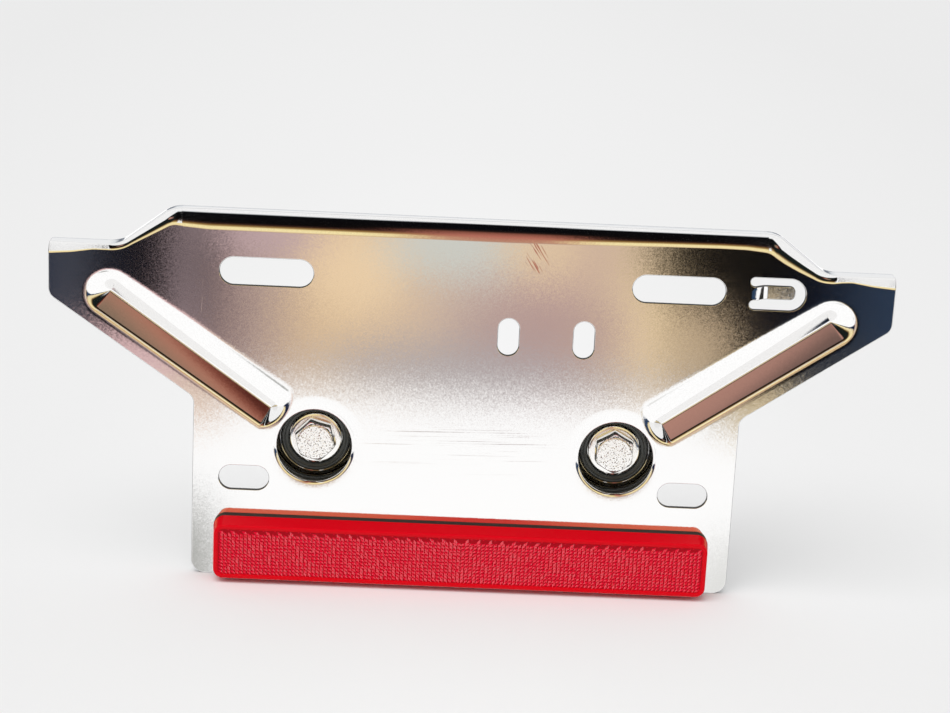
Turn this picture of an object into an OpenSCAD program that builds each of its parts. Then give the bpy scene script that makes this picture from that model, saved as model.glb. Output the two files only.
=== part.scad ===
// Number plate bracket of a motorcycle: one chromed pressing on two rubber
// mounted bolts, with a long red reflector along its lower edge.
// The plate stands upright: X to its left and right, Z up, and its face looks
// along -Y. The origin lies between the two bolts, where the collars meet the
// motorcycle. Inside plate_frame() x stays X, y is Z, and z is measured forward
// from the face of the sheet.

/* [Sheet] */
// Thickness of the steel sheet
sheet_t = 1.6; // [1.2:0.1:2]
// Overall width from ear to ear
ear_span = 274.8; // [256:0.2:300]
// Height of the raised top edge above the bolts
crown_h = 77.5; // [72:0.5:84]
// Half the width of the raised top before it starts to drop
crown_half_w = 95; // [80:1:98]
// Depth of the lower edge below the bolts
lower_drop = 46.2; // [45.8:0.2:60]
// Width of the lower panel
panel_w = 180; // [174:1:184]
// Height above the bolts at which the slanted edge meets the lower panel
wing_root_h = 15; // [10:0.5:17]
// Slope of the wings' slanted lower edge
wing_angle = 34.6; // [31:0.2:36]
// Radius of the ears' lower corners
ear_corner_r = 4; // [1:0.5:6]
// Radius of the inner corner between wing and lower panel
root_fillet_r = 4; // [1:0.5:8]
// Radius of the lower panel's bottom corners
bottom_corner_r = 4.5; // [1:0.5:6]

/* [Top flange] */
// Outer radius of the bend into the flange
flange_bend_r = 4.4; // [3:0.2:6]
// Depth of the flange behind the face
flange_depth = 8; // [7:0.5:14]
// Radius of the flange's edge over the crown's shoulder
crown_sweep_r = 10.1; // [8:0.1:12]
// Radius of the flange's edge in the valley beside the ear
valley_sweep_r = 10.1; // [8:0.1:12]
// Length of the straight slope between those two curves
sweep_len = 14.1; // [11:0.1:16]

/* [Bolt cups] */
// Distance between the two frame bolts
bolt_spacing = 100; // [96:1:106]
// Depth of the cup floor behind the face
cup_depth = 14; // [12:0.5:18]
// Radius inside the cup's wall
cup_r = 11.7; // [11.6:0.1:12.4]
// Front radius of the cup's rounded rim
cup_rim_r = 2.4; // [2.1:0.1:3.2]
// Front radius between the cup's wall and floor
cup_fillet_r = 1.2; // [0.6:0.1:1.4]

/* [Stiffening grooves] */
// Half the groove's width at the face
groove_half_w = 7; // [6:0.1:7.4]
// Front radius of the groove's rounded shoulders
groove_shoulder_r = 2.6; // [2.1:0.1:3]
// Front radius along the bottom of the groove
groove_root_r = 0.8; // [0.5:0.1:1.2]
// Distance from the groove's outer end centre to the ear's side edge
groove_end_inset = 19; // [18:0.5:24]
// Sideways distance from the bolt's centre to the groove's inner end centre
groove_bolt_gap = 18.2; // [18:0.1:24]
// Distance from the groove's centre line to the slanted edge
groove_edge_gap = 11; // [10.5:0.1:12.6]

/* [Plate slots] */
// Distance between the centres of the upper slots
upper_slot_spacing = 134; // [128:1:138]
// Height of the upper slots above the bolts
upper_slot_h = 58.2; // [56:0.2:60]
// Length of an upper slot
upper_slot_len = 30.4; // [20:0.2:34]
// Width of an upper slot
upper_slot_w = 9.2; // [6:0.1:10]
// Distance between the centres of the lower slots
lower_slot_spacing = 146; // [142:1:152]
// Depth of the lower slots below the bolts
lower_slot_drop = 12; // [10:0.5:16]
// Length of a lower slot
lower_slot_len = 16.6; // [12:0.2:18]
// Width of a lower slot
lower_slot_w = 8.4; // [6:0.1:9]
// Distance from the middle of the plate to the first upright slot
upright_slot_x = 12.3; // [8:0.1:16]
// Distance between the two upright slots
upright_slot_pitch = 24.7; // [18:0.1:28]
// Height of the upright slots' centre above the bolts
upright_slot_h = 40; // [34:0.5:44]
// Length of an upright slot
upright_slot_len = 12.5; // [9:0.1:16]
// Width of an upright slot
upright_slot_w = 6.9; // [5:0.1:8]

/* [Cable tongue] */
// Distance from the end of the upper slot to the tongue's root
tongue_root_gap = 9.4; // [7:0.1:11]
// Height of the tongue's centre line above the bolts
tongue_h = 58.2; // [57.6:0.1:59]
// Width of the tongue
tongue_w = 4.5; // [3.5:0.1:5.5]
// Length of the tongue from its root
tongue_len = 13.6; // [12:0.1:14.4]
// Width of the gap round the tongue
tongue_gap = 3.1; // [2.6:0.1:3.2]
// Length of the sloping part that sets the tongue's pad back
tongue_slope_len = 3.5; // [2:0.5:4]

/* [Rubber grommets] */
// Radius of the hole in the cup floor
floor_hole_r = 8; // [7.4:0.1:8.6]
// Outer radius of the front lip
lip_r = 11.3; // [10.6:0.1:11.3]
// Height of the front lip above the cup floor
lip_h = 5.4; // [4.4:0.1:6]
// Inner radius of the front lip's mouth
mouth_r = 9.5; // [9.3:0.1:9.7]
// Thickness of rubber under the collar's flange
pad_t = 0.8; // [0.6:0.1:1.2]
// Outer radius of the rear lip
rear_lip_r = 10.5; // [9.4:0.1:11]
// Thickness of the rear lip
rear_lip_t = 3; // [2:0.1:4]

/* [Collars] */
// Radius of the collar's flange
collar_flange_r = 9.1; // [8.8:0.1:9.2]
// Thickness of the collar's flange
collar_flange_t = 1.2; // [0.8:0.1:1.6]
// Outer radius of the collar's tube
collar_tube_r = 6; // [5.4:0.1:6.4]
// Length of tube left proud of the rear lip
collar_proud = 0.4; // [0.2:0.1:1]

/* [Frame bolts] */
// Radius of the bolt's thread, behind the collar
thread_r = 4; // [3.5:0.1:4.2]
// Radius of the plain shank inside the collar
shank_r = 3.6; // [3.2:0.1:3.8]
// Length of the bolt under its flange
bolt_len = 20; // [12:0.5:30]
// Hexagon size across its flats
hex_af = 12; // [10:0.1:13]
// Height of the hexagon above the flange
hex_h = 6; // [4.5:0.1:7]
// Radius of the bolt's flange
bolt_flange_r = 8.6; // [8:0.1:8.8]
// Thickness of the flange at its rim
bolt_flange_t = 0.9; // [0.6:0.1:1.2]
// Rise of the flange's cone up to the hexagon
bolt_cone_h = 0.8; // [0.4:0.1:1.4]
// Height of the chamfer at the hexagon's corners
hex_chamfer_h = 0.8; // [0.4:0.1:1]
// Turn of the left bolt's hexagon
left_hex_turn = 15; // [-30:1:30]
// Turn of the right bolt's hexagon
right_hex_turn = 0; // [-30:1:30]

/* [Reflector] */
// Width of the reflector at its back
reflector_w = 165.4; // [150:0.2:170]
// Height of the reflector at its back
reflector_h = 20.4; // [18:0.2:21]
// Depth of the reflector's lower edge below the bolts
reflector_drop = 45.4; // [44.6:0.2:45.6]
// Thickness of the dark backing plate
backing_t = 1.5; // [1:0.1:2]
// Depth of the lens in front of the backing
lens_depth = 7.4; // [6:0.1:9]
// How far the lens draws in from back to front on each side
lens_draft = 0.9; // [0.4:0.1:1.2]
// Radius of the lens's corners at its back
lens_corner_r = 4; // [3:0.1:5]
// Thickness of the lens's side walls
lens_wall_t = 1.5; // [1.2:0.1:2]
// Thickness of the lens's face
lens_face_t = 2.6; // [2:0.1:3]
// Width of the raised rim round the face
lens_rim_w = 1.3; // [0.9:0.1:1.6]
// Height of the raised rim
lens_rim_h = 0.4; // [0.2:0.1:0.6]
// Distance from a stud's centre to the reflector's end
stud_inset = 22.7; // [16:0.1:30]
// Radius of a stud's shank
stud_r = 2.5; // [2:0.1:3]
// Length of a stud's shank behind the backing's rear face
stud_len = 10; // [9:0.5:14]
// Radius of a stud's head
stud_head_r = 4.6; // [4:0.1:5]
// Thickness of a stud's head
stud_head_t = 1.4; // [1:0.1:2]
// Outer radius of a stud's washer
stud_washer_r = 5; // [4:0.1:6]
// Thickness of a stud's washer
stud_washer_t = 1; // [0.8:0.1:1.4]
// Stud nut size across its flats
stud_nut_af = 8; // [7:0.1:9]
// Height of a stud's nut
stud_nut_h = 4; // [3:0.1:5]

/* [Fits] */
// Clearance of the grommet in its hole and cup
rubber_fit = 0.1; // [0.05:0.05:0.2]
// Clearance of the collar in the grommet
collar_fit = 0.1; // [0.05:0.05:0.2]
// Clearance of the bolt in its collar
bolt_fit = 0.25; // [0.1:0.05:0.4]
// Clearance between a thread and its nut
thread_fit = 0.1; // [0.05:0.05:0.15]
// Clearance of a reflector stud in the sheet
stud_fit = 0.3; // [0.2:0.05:0.5]

/* [Hidden] */
$fn = 72;
overlap = 1;
LEFT = -1;
RIGHT = 1;
// Direction of a slope that falls 3 in 4, used by the sweeps, grooves and tongue
slope_run = 0.8;
slope_fall = 0.6;
slope_angle = asin(slope_fall);

// Heights along the bolt's axis, forward from the face of the sheet
floor_z = -cup_depth;
floor_back_z = floor_z - sheet_t;
mouth_floor_z = floor_z + pad_t;
bolt_seat_z = mouth_floor_z + collar_flange_t;
rear_lip_z = floor_back_z - rear_lip_t;
clamp_z = rear_lip_z - collar_proud;

// Points of the sheet's outline
panel_half_w = panel_w / 2;
ear_half = ear_span / 2;
sweep_radii = crown_sweep_r + valley_sweep_r;
ear_h = crown_h - sweep_radii * (1 - slope_run) - sweep_len * slope_fall;
crown_bend_h = crown_h - flange_bend_r;
ear_bend_h = ear_h - flange_bend_r;
ear_low_h = wing_root_h + (ear_half - panel_half_w) * tan(wing_angle);
sweep_run = sweep_radii * slope_fall + sweep_len * slope_run;
crown_centre = [crown_half_w, crown_h - crown_sweep_r];
valley_centre = [crown_half_w + sweep_run, ear_h + valley_sweep_r];
crown_bend_line_r = crown_sweep_r - flange_bend_r;
valley_bend_line_r = valley_sweep_r + flange_bend_r;
sweep_dir = [slope_fall, slope_run];
crown_sweep_end = crown_centre + crown_bend_line_r * sweep_dir;
valley_sweep_start = valley_centre - valley_bend_line_r * sweep_dir;
corner_turn = (90 - wing_angle) / 2;
wing_dir = [cos(wing_angle), sin(wing_angle)];

// Groove's outer end, on the right wing
groove_end_x = ear_half - groove_end_inset;
groove_end_edge_h = wing_root_h + (groove_end_x - panel_half_w) * tan(wing_angle);
groove_end_h = groove_end_edge_h + groove_edge_gap / cos(wing_angle);
groove_len = (groove_end_x - bolt_spacing / 2 - groove_bolt_gap) / cos(wing_angle);
groove_seam = 0.4;
tongue_root_x = (upper_slot_spacing + upper_slot_len) / 2 + tongue_root_gap;

reflector_mid_h = reflector_h / 2 - reflector_drop;
stud_spacing = reflector_w - 2 * stud_inset;

module plate_frame() {
    translate([0, clamp_z, 0]) rotate([90, 0, 0]) children();
}

module mirrored_pair() {
    children();
    mirror([1, 0, 0]) children();
}

module at_bolt(side) {
    translate([side * bolt_spacing / 2, 0, 0]) children();
}

module at_stud(side) {
    translate([side * stud_spacing / 2, reflector_mid_h, 0]) children();
}

// A slot with round ends, as a flat shape
module slot(len, w) {
    reach = (len - w) / 2;
    square([2 * reach, w], center = true);
    translate([-reach, 0]) circle(d = w);
    translate([reach, 0]) circle(d = w);
}

// The wedge between two unit directions, as a flat shape
module wedge(from, to, reach) {
    polygon([[0, 0], reach * from, reach * (from + to), reach * to]);
}

// The part of a flat ring between two unit directions
module ring_sector(outer_r, inner_r, from, to) {
    intersection() {
        difference() {
            circle(r = outer_r);
            circle(r = inner_r);
        }
        wedge(from, to, 2 * outer_r);
    }
}

// The sheet's outline up to the line where the flange starts to bend
module half_outline() {
    root_cut = root_fillet_r * tan(corner_turn);
    ear_cut = ear_corner_r * tan(corner_turn);
    root = [panel_half_w, wing_root_h];
    ear_low = [ear_half, ear_low_h];
    difference() {
        polygon([
            [-overlap, -lower_drop],
            [panel_half_w - bottom_corner_r, -lower_drop],
            [panel_half_w, bottom_corner_r - lower_drop],
            root - [0, root_cut],
            root + root_cut * wing_dir,
            ear_low - ear_cut * wing_dir,
            ear_low + [0, ear_cut],
            [ear_half, ear_bend_h],
            [valley_centre[0], ear_bend_h],
            valley_sweep_start,
            crown_sweep_end,
            [crown_half_w, crown_bend_h],
            [-overlap, crown_bend_h]
        ]);
        translate(valley_centre) circle(r = valley_bend_line_r);
        translate(root + [root_fillet_r, -root_cut]) circle(r = root_fillet_r);
    }
    translate(crown_centre) circle(r = crown_bend_line_r);
    translate(ear_low + [-ear_corner_r, ear_cut]) circle(r = ear_corner_r);
    translate([panel_half_w, -lower_drop] + bottom_corner_r * [-1, 1]) circle(r = bottom_corner_r);
}

// The U-shaped opening that frees the cable tongue
module tongue_opening() {
    lobe_r = tongue_gap / 2;
    half_h = tongue_w / 2 + tongue_gap;
    lobe_mid = (tongue_w + tongue_gap) / 2;
    nose_x = tongue_len + tongue_gap - half_h;
    translate([tongue_root_x, tongue_h]) {
        difference() {
            union() {
                translate([0, -half_h]) square([nose_x, 2 * half_h]);
                translate([nose_x, 0]) circle(r = half_h);
            }
            translate([-overlap, -tongue_w / 2]) square([tongue_len + overlap, tongue_w]);
        }
        translate([0, lobe_mid]) circle(r = lobe_r);
        translate([0, -lobe_mid]) circle(r = lobe_r);
    }
}

module sheet_openings() {
    mirrored_pair() {
        translate([upper_slot_spacing / 2, upper_slot_h]) slot(upper_slot_len, upper_slot_w);
        translate([lower_slot_spacing / 2, -lower_slot_drop]) slot(lower_slot_len, lower_slot_w);
    }
    for (i = [0, 1])
        translate([upright_slot_x + i * upright_slot_pitch, upright_slot_h])
            rotate(90) slot(upright_slot_len, upright_slot_w);
    for (side = [LEFT, RIGHT])
        at_stud(side) circle(r = stud_r + stud_fit);
    tongue_opening();
}

// Place of the right groove's outer end, with x running down the groove
module at_groove() {
    translate([groove_end_x, groove_end_h]) rotate(180 + wing_angle) children();
}

module flat_sheet() {
    groove_hole_half_w = groove_half_w + groove_seam / 2;
    translate([0, 0, -sheet_t]) linear_extrude(sheet_t)
        difference() {
            mirrored_pair() half_outline();
            sheet_openings();
            for (side = [LEFT, RIGHT])
                at_bolt(side) circle(r = cup_r + cup_rim_r);
            mirrored_pair() at_groove() translate([groove_len / 2, 0])
                slot(groove_len + 2 * groove_hole_half_w, 2 * groove_hole_half_w);
        }
}

// Cross-section of the bend and flange, outward from the bend line
module flange_profile() {
    translate([0, -flange_bend_r])
        ring_sector(flange_bend_r, flange_bend_r - sheet_t, [1, 0], [0, 1]);
    translate([flange_bend_r - sheet_t, -flange_depth])
        square([sheet_t, flange_depth - flange_bend_r]);
}

module straight_flange(len) {
    rotate([90, 0, 90]) linear_extrude(len) flange_profile();
}

// A stretch of flange turned about a centre, between two unit directions
module curved_flange(from, to) {
    intersection() {
        rotate_extrude() children();
        translate([0, 0, -flange_depth - overlap]) linear_extrude(flange_depth + 2 * overlap)
            wedge(from, to, 2 * (valley_sweep_r + crown_sweep_r));
    }
}

// The flange follows the crown, drops through two sweeps and runs out on the ear
module half_flange() {
    translate([0, crown_bend_h, 0]) straight_flange(crown_half_w);
    translate(crown_centre) curved_flange([0, 1], sweep_dir)
        translate([crown_bend_line_r, 0]) flange_profile();
    translate(crown_sweep_end) rotate(-slope_angle) straight_flange(sweep_len);
    translate(valley_centre) curved_flange(-sweep_dir, [0, -1])
        translate([valley_bend_line_r, 0]) mirror([1, 0]) flange_profile();
    translate([valley_centre[0], ear_bend_h, 0]) straight_flange(ear_half - valley_centre[0]);
}

// Half of the cross-section of a pressed V, from its middle line to its shoulder
module groove_profile() {
    wall_run = groove_half_w - (groove_shoulder_r + groove_root_r) * slope_fall;
    wall_len = wall_run / slope_run;
    wall_top = [groove_half_w, -groove_shoulder_r] + groove_shoulder_r * [-slope_fall, slope_run];
    wall_base = wall_top - wall_len * [slope_run, slope_fall];
    translate([groove_half_w, -sheet_t]) square([groove_seam, sheet_t]);
    translate([groove_half_w, -groove_shoulder_r])
        ring_sector(groove_shoulder_r, groove_shoulder_r - sheet_t, [0, 1], [-slope_fall, slope_run]);
    translate(wall_base) rotate(slope_angle) translate([0, -sheet_t]) square([wall_len, sheet_t]);
    translate([0, wall_base[1] + groove_root_r * slope_run])
        ring_sector(groove_root_r + sheet_t, groove_root_r, [0, -1], [slope_fall, -slope_run]);
}

module groove() {
    at_groove() {
        rotate(90) rotate_extrude(angle = 180) groove_profile();
        translate([groove_len, 0, 0]) rotate(-90) rotate_extrude(angle = 180) groove_profile();
        rotate([90, 0, 90]) linear_extrude(groove_len) {
            groove_profile();
            mirror([1, 0]) groove_profile();
        }
    }
}

// Cross-section of a cup: rounded rim, wall, fillet and floor
module cup_profile() {
    fillet_centre = [cup_r - cup_fillet_r, floor_z + cup_fillet_r];
    translate([cup_r + cup_rim_r, -cup_rim_r])
        ring_sector(cup_rim_r, cup_rim_r - sheet_t, [0, 1], [-1, 0]);
    translate([cup_r, fillet_centre[1]]) square([sheet_t, cup_depth - cup_rim_r - cup_fillet_r]);
    translate(fillet_centre)
        ring_sector(cup_fillet_r + sheet_t, cup_fillet_r, [0, -1], [1, 0]);
    translate([floor_hole_r, floor_back_z]) square([fillet_centre[0] - floor_hole_r, sheet_t]);
}

module cup() {
    rotate_extrude() cup_profile();
}

// The tongue's edge view: level root, slope to the back and level pad
module tongue_profile() {
    inner_r = sheet_t / 4;
    outer_r = inner_r + sheet_t;
    neck = 1.2;
    slope_start = [neck, -outer_r] + outer_r * [slope_fall, slope_run];
    slope_end = slope_start + tongue_slope_len * [slope_run, -slope_fall];
    pad_bend = slope_end + inner_r * [slope_fall, slope_run];
    pad_back = pad_bend[1] - outer_r;
    translate([-overlap, -sheet_t]) square([neck + overlap, sheet_t]);
    translate([neck, -outer_r]) ring_sector(outer_r, inner_r, [0, 1], [slope_fall, slope_run]);
    translate(slope_start) rotate(-slope_angle) translate([0, -sheet_t])
        square([tongue_slope_len, sheet_t]);
    translate(pad_bend) ring_sector(outer_r, inner_r, [-slope_fall, -slope_run], [0, -1]);
    translate([pad_bend[0], pad_back]) square([tongue_len - pad_bend[0], sheet_t]);
}

module tongue() {
    tip_r = tongue_w / 3;
    cut_depth = 8;
    translate([tongue_root_x, tongue_h, 0]) intersection() {
        translate([0, tongue_w / 2, 0]) rotate([90, 0, 0]) linear_extrude(tongue_w) tongue_profile();
        translate([0, 0, -cut_depth]) linear_extrude(cut_depth + overlap) {
            translate([-overlap, -tongue_w / 2]) square([tongue_len + overlap - tip_r, tongue_w]);
            translate([-overlap, tip_r - tongue_w / 2])
                square([tongue_len + overlap, tongue_w - 2 * tip_r]);
            for (way = [-1, 1])
                translate([tongue_len - tip_r, way * (tongue_w / 2 - tip_r)]) circle(r = tip_r);
        }
    }
}

module bracket() {
    color("silver") plate_frame() {
        flat_sheet();
        mirrored_pair() half_flange();
        mirrored_pair() groove();
        for (side = [LEFT, RIGHT])
            at_bolt(side) cup();
        tongue();
    }
}

module hex_prism(af, h) {
    cylinder(r = af / 2 / cos(30), h = h, $fn = 6);
}

// Flange bolt with a chamfered hexagon; the thread is left plain
module bolt(side, turn) {
    tip_chamfer = 0.8;
    tip_z = bolt_seat_z - bolt_len;
    hex_z = bolt_seat_z + bolt_flange_t + bolt_cone_h;
    corner_r = hex_af / 2 / cos(30);
    face_r = hex_af / 2 * 0.96;
    cone_top_r = hex_af / 2;
    color("lightgray") plate_frame() at_bolt(side) rotate(turn) {
        translate([0, 0, clamp_z]) cylinder(r = shank_r, h = bolt_seat_z - clamp_z);
        translate([0, 0, tip_z + tip_chamfer])
            cylinder(r = thread_r, h = clamp_z - tip_z - tip_chamfer);
        translate([0, 0, tip_z])
            cylinder(r1 = thread_r - tip_chamfer, r2 = thread_r, h = tip_chamfer);
        translate([0, 0, bolt_seat_z]) cylinder(r = bolt_flange_r, h = bolt_flange_t);
        translate([0, 0, bolt_seat_z + bolt_flange_t])
            cylinder(r1 = bolt_flange_r, r2 = cone_top_r, h = bolt_cone_h);
        intersection() {
            translate([0, 0, bolt_seat_z + bolt_flange_t]) rotate(30)
                hex_prism(hex_af, bolt_cone_h + hex_h);
            union() {
                translate([0, 0, bolt_seat_z])
                    cylinder(r = corner_r + overlap, h = hex_z + hex_h - hex_chamfer_h - bolt_seat_z);
                translate([0, 0, hex_z + hex_h - hex_chamfer_h])
                    cylinder(r1 = corner_r, r2 = face_r, h = hex_chamfer_h);
            }
        }
    }
}

module collar(side) {
    color("gainsboro") plate_frame() at_bolt(side) difference() {
        union() {
            translate([0, 0, clamp_z]) cylinder(r = collar_tube_r, h = mouth_floor_z - clamp_z);
            translate([0, 0, mouth_floor_z]) cylinder(r = collar_flange_r, h = collar_flange_t);
        }
        translate([0, 0, clamp_z - overlap])
            cylinder(r = thread_r + bolt_fit, h = bolt_seat_z - clamp_z + 2 * overlap);
    }
}

// Cross-section of the grommet: deep front lip, groove for the floor, rear lip
module grommet_profile() {
    crest_r = (lip_r - mouth_r) / 2;
    crest_z = floor_z + lip_h - crest_r;
    foot_r = lip_r - cup_fillet_r - rubber_fit;
    foot_h = cup_fillet_r + rubber_fit;
    bore_r = collar_tube_r + collar_fit;
    waist_r = floor_hole_r - rubber_fit;
    rear_round = rear_lip_t / 3;
    polygon([
        [bore_r, rear_lip_z],
        [rear_lip_r - rear_round, rear_lip_z],
        [rear_lip_r, rear_lip_z + rear_round],
        [rear_lip_r, floor_back_z],
        [waist_r, floor_back_z],
        [waist_r, floor_z],
        [foot_r, floor_z],
        [lip_r, floor_z + foot_h],
        [lip_r, crest_z],
        [mouth_r, crest_z],
        [mouth_r, mouth_floor_z],
        [bore_r, mouth_floor_z]
    ]);
    translate([lip_r - crest_r, crest_z]) circle(r = crest_r);
}

module grommet(side) {
    color("#202225") plate_frame() at_bolt(side) rotate_extrude() grommet_profile();
}

// A hexagon nut with its rear corners chamfered and a plain threaded bore
module hex_nut(af, h, bore_r) {
    corner_r = af / 2 / cos(30);
    chamfer_h = h / 8;
    difference() {
        intersection() {
            hex_prism(af, h);
            union() {
                cylinder(r1 = af / 2, r2 = corner_r, h = chamfer_h);
                translate([0, 0, chamfer_h]) cylinder(r = corner_r + overlap, h = h);
            }
        }
        translate([0, 0, -overlap]) cylinder(r = bore_r, h = h + 2 * overlap);
    }
}

// A slab with round corners whose sides draw in evenly towards its top
module drafted_slab(w, h, corner_r, depth, draft) {
    reach_x = w / 2 - corner_r;
    reach_y = h / 2 - corner_r;
    side = [[-corner_r, 0], [corner_r, 0], [corner_r - draft, depth], [draft - corner_r, depth]];
    for (x = [-reach_x, reach_x], y = [-reach_y, reach_y])
        translate([x, y, 0]) cylinder(r1 = corner_r, r2 = corner_r - draft, h = depth);
    for (y = [-reach_y, reach_y])
        translate([-reach_x, y, 0]) rotate([90, 0, 90]) linear_extrude(2 * reach_x) polygon(side);
    for (x = [-reach_x, reach_x])
        translate([x, reach_y, 0]) rotate([90, 0, 0]) linear_extrude(2 * reach_y) polygon(side);
    translate([-reach_x, -reach_y, 0]) cube([2 * reach_x, 2 * reach_y, depth]);
}

module at_reflector() {
    plate_frame() translate([0, reflector_mid_h, 0]) children();
}

module reflector_lens() {
    color("red") at_reflector() translate([0, 0, backing_t]) difference() {
        drafted_slab(reflector_w, reflector_h, lens_corner_r, lens_depth, lens_draft);
        translate([0, 0, -overlap]) linear_extrude(lens_depth - lens_face_t + overlap)
            rounded_plate(reflector_w - 2 * lens_wall_t - 2 * lens_draft,
                reflector_h - 2 * lens_wall_t - 2 * lens_draft, lens_corner_r - lens_wall_t - lens_draft);
        translate([0, 0, lens_depth - lens_rim_h]) linear_extrude(lens_rim_h + overlap)
            rounded_plate(reflector_w - 2 * lens_rim_w - 2 * lens_draft,
                reflector_h - 2 * lens_rim_w - 2 * lens_draft, lens_corner_r - lens_rim_w - lens_draft);
    }
}

// A flat rectangle with round corners
module rounded_plate(w, h, corner_r) {
    square([w - 2 * corner_r, h], center = true);
    square([w, h - 2 * corner_r], center = true);
    for (x = [-1, 1], y = [-1, 1])
        translate([x * (w / 2 - corner_r), y * (h / 2 - corner_r)]) circle(r = corner_r);
}

module reflector_backing() {
    color("#26282b") at_reflector() difference() {
        linear_extrude(backing_t) rounded_plate(reflector_w, reflector_h, lens_corner_r);
        for (side = [LEFT, RIGHT])
            translate([side * stud_spacing / 2, 0, -overlap])
                cylinder(r = stud_r + thread_fit, h = backing_t + 2 * overlap);
    }
}

module stud(side) {
    tip_chamfer = 0.6;
    color("gray") plate_frame() at_stud(side) {
        translate([0, 0, backing_t]) cylinder(r = stud_head_r, h = stud_head_t);
        translate([0, 0, tip_chamfer - stud_len]) cylinder(r = stud_r, h = stud_len - tip_chamfer + backing_t);
        translate([0, 0, -stud_len]) cylinder(r1 = stud_r - tip_chamfer, r2 = stud_r, h = tip_chamfer);
    }
}

module stud_washer(side) {
    color("silver") plate_frame() at_stud(side) difference() {
        translate([0, 0, -sheet_t - stud_washer_t]) cylinder(r = stud_washer_r, h = stud_washer_t);
        translate([0, 0, -sheet_t - stud_washer_t - overlap])
            cylinder(r = stud_r + thread_fit, h = stud_washer_t + 2 * overlap);
    }
}

module stud_nut(side) {
    color("silver") plate_frame() at_stud(side)
        translate([0, 0, -sheet_t - stud_washer_t - stud_nut_h]) rotate(12 * side)
            hex_nut(stud_nut_af, stud_nut_h, stud_r + thread_fit);
}

bracket();
bolt(LEFT, left_hex_turn);  // left_bolt
bolt(RIGHT, right_hex_turn);  // right_bolt
collar(LEFT);  // left_collar
collar(RIGHT);  // right_collar
grommet(LEFT);  // left_grommet
grommet(RIGHT);  // right_grommet
reflector_lens();
reflector_backing();
stud(LEFT);  // left_stud
stud(RIGHT);  // right_stud
stud_washer(LEFT);  // left_stud_washer
stud_washer(RIGHT);  // right_stud_washer
stud_nut(LEFT);  // left_stud_nut
stud_nut(RIGHT);  // right_stud_nut
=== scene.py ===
from math import cos, pi, radians, sin, tan

import bpy
import numpy as np
from mathutils import Matrix, Vector
from mathutils.geometry import delaunay_2d_cdt


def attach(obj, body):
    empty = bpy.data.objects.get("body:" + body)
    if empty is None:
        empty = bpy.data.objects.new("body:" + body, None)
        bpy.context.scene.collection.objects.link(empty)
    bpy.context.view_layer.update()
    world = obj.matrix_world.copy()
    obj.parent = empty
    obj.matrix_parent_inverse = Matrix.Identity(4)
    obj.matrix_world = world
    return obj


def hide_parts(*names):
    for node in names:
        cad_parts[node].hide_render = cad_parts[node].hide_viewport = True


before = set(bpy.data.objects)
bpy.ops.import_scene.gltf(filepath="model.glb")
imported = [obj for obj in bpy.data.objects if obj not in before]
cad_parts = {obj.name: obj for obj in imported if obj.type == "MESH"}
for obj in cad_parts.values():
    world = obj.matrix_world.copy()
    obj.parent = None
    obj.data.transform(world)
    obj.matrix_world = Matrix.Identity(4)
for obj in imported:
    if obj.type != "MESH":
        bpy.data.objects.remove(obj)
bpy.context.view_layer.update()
scene = bpy.context.scene


# Camera
# It looks down on the upright plate from in front, a little left of its middle,
# and is rolled so that the plate's top edge falls to the right.
CAMERA_POS = Vector((-0.01426, -0.7064, 0.2215))
CAMERA_DIR = Vector((0.02238, 0.96416, -0.26438)).normalized()
CAMERA_ROLL = radians(2.84)
level_right = CAMERA_DIR.cross(Vector((0, 0, 1))).normalized()
level_up = level_right.cross(CAMERA_DIR)
right = cos(CAMERA_ROLL) * level_right + sin(CAMERA_ROLL) * level_up
up = cos(CAMERA_ROLL) * level_up - sin(CAMERA_ROLL) * level_right
camera_data = bpy.data.cameras.new("camera")
camera_data.sensor_width = 36
camera_data.lens = 82.57
camera_data.clip_end = 50
camera = bpy.data.objects.new("camera", camera_data)
turn = Matrix((right, up, -CAMERA_DIR)).transposed()
camera.matrix_world = Matrix.Translation(CAMERA_POS) @ turn.to_4x4()
scene.collection.objects.link(camera)
scene.camera = camera
scene.view_settings.view_transform = "Standard"
scene.view_settings.look = "None"

# Floor
# A plain pale floor under the bracket's lower edge, with a painted pool of light
# that makes it a little brighter close to it. The chrome doesn't mirror it; it
# mirrors the room that follows.
MM = 0.001
FLOOR_Z = -46.2 * MM


def new_material(name):
    material = bpy.data.materials.new(name)
    material.use_nodes = True
    tree = material.node_tree
    return material, tree, tree.nodes["Principled BSDF"]


def add_node(tree, kind, **settings):
    node = tree.nodes.new(kind)
    for key, value in settings.items():
        if key in node.inputs:
            node.inputs[key].default_value = value
        else:
            setattr(node, key, value)
    return node


def maths(tree, operation, first, second=None):
    node = tree.nodes.new("ShaderNodeMath")
    node.operation = operation
    for socket, value in zip(node.inputs, (first, second)):
        if value is None:
            continue
        if isinstance(value, (int, float)):
            socket.default_value = value
        else:
            tree.links.new(value, socket)
    return node.outputs[0]


def ramp(tree, value, stops):
    node = tree.nodes.new("ShaderNodeValToRGB")
    elements = node.color_ramp.elements
    while len(elements) < len(stops):
        elements.new(1.0)
    for element, (place, colour) in zip(elements, stops):
        element.position = place
        element.color = (*colour, 1)
    tree.links.new(value, node.inputs[0])
    return node.outputs[0]


def between(tree, value, low, high):
    node = tree.nodes.new("ShaderNodeMapRange")
    node.interpolation_type = "SMOOTHSTEP"
    node.inputs["From Min"].default_value = low
    node.inputs["From Max"].default_value = high
    tree.links.new(value, node.inputs["Value"])
    return node.outputs["Result"]


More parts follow.
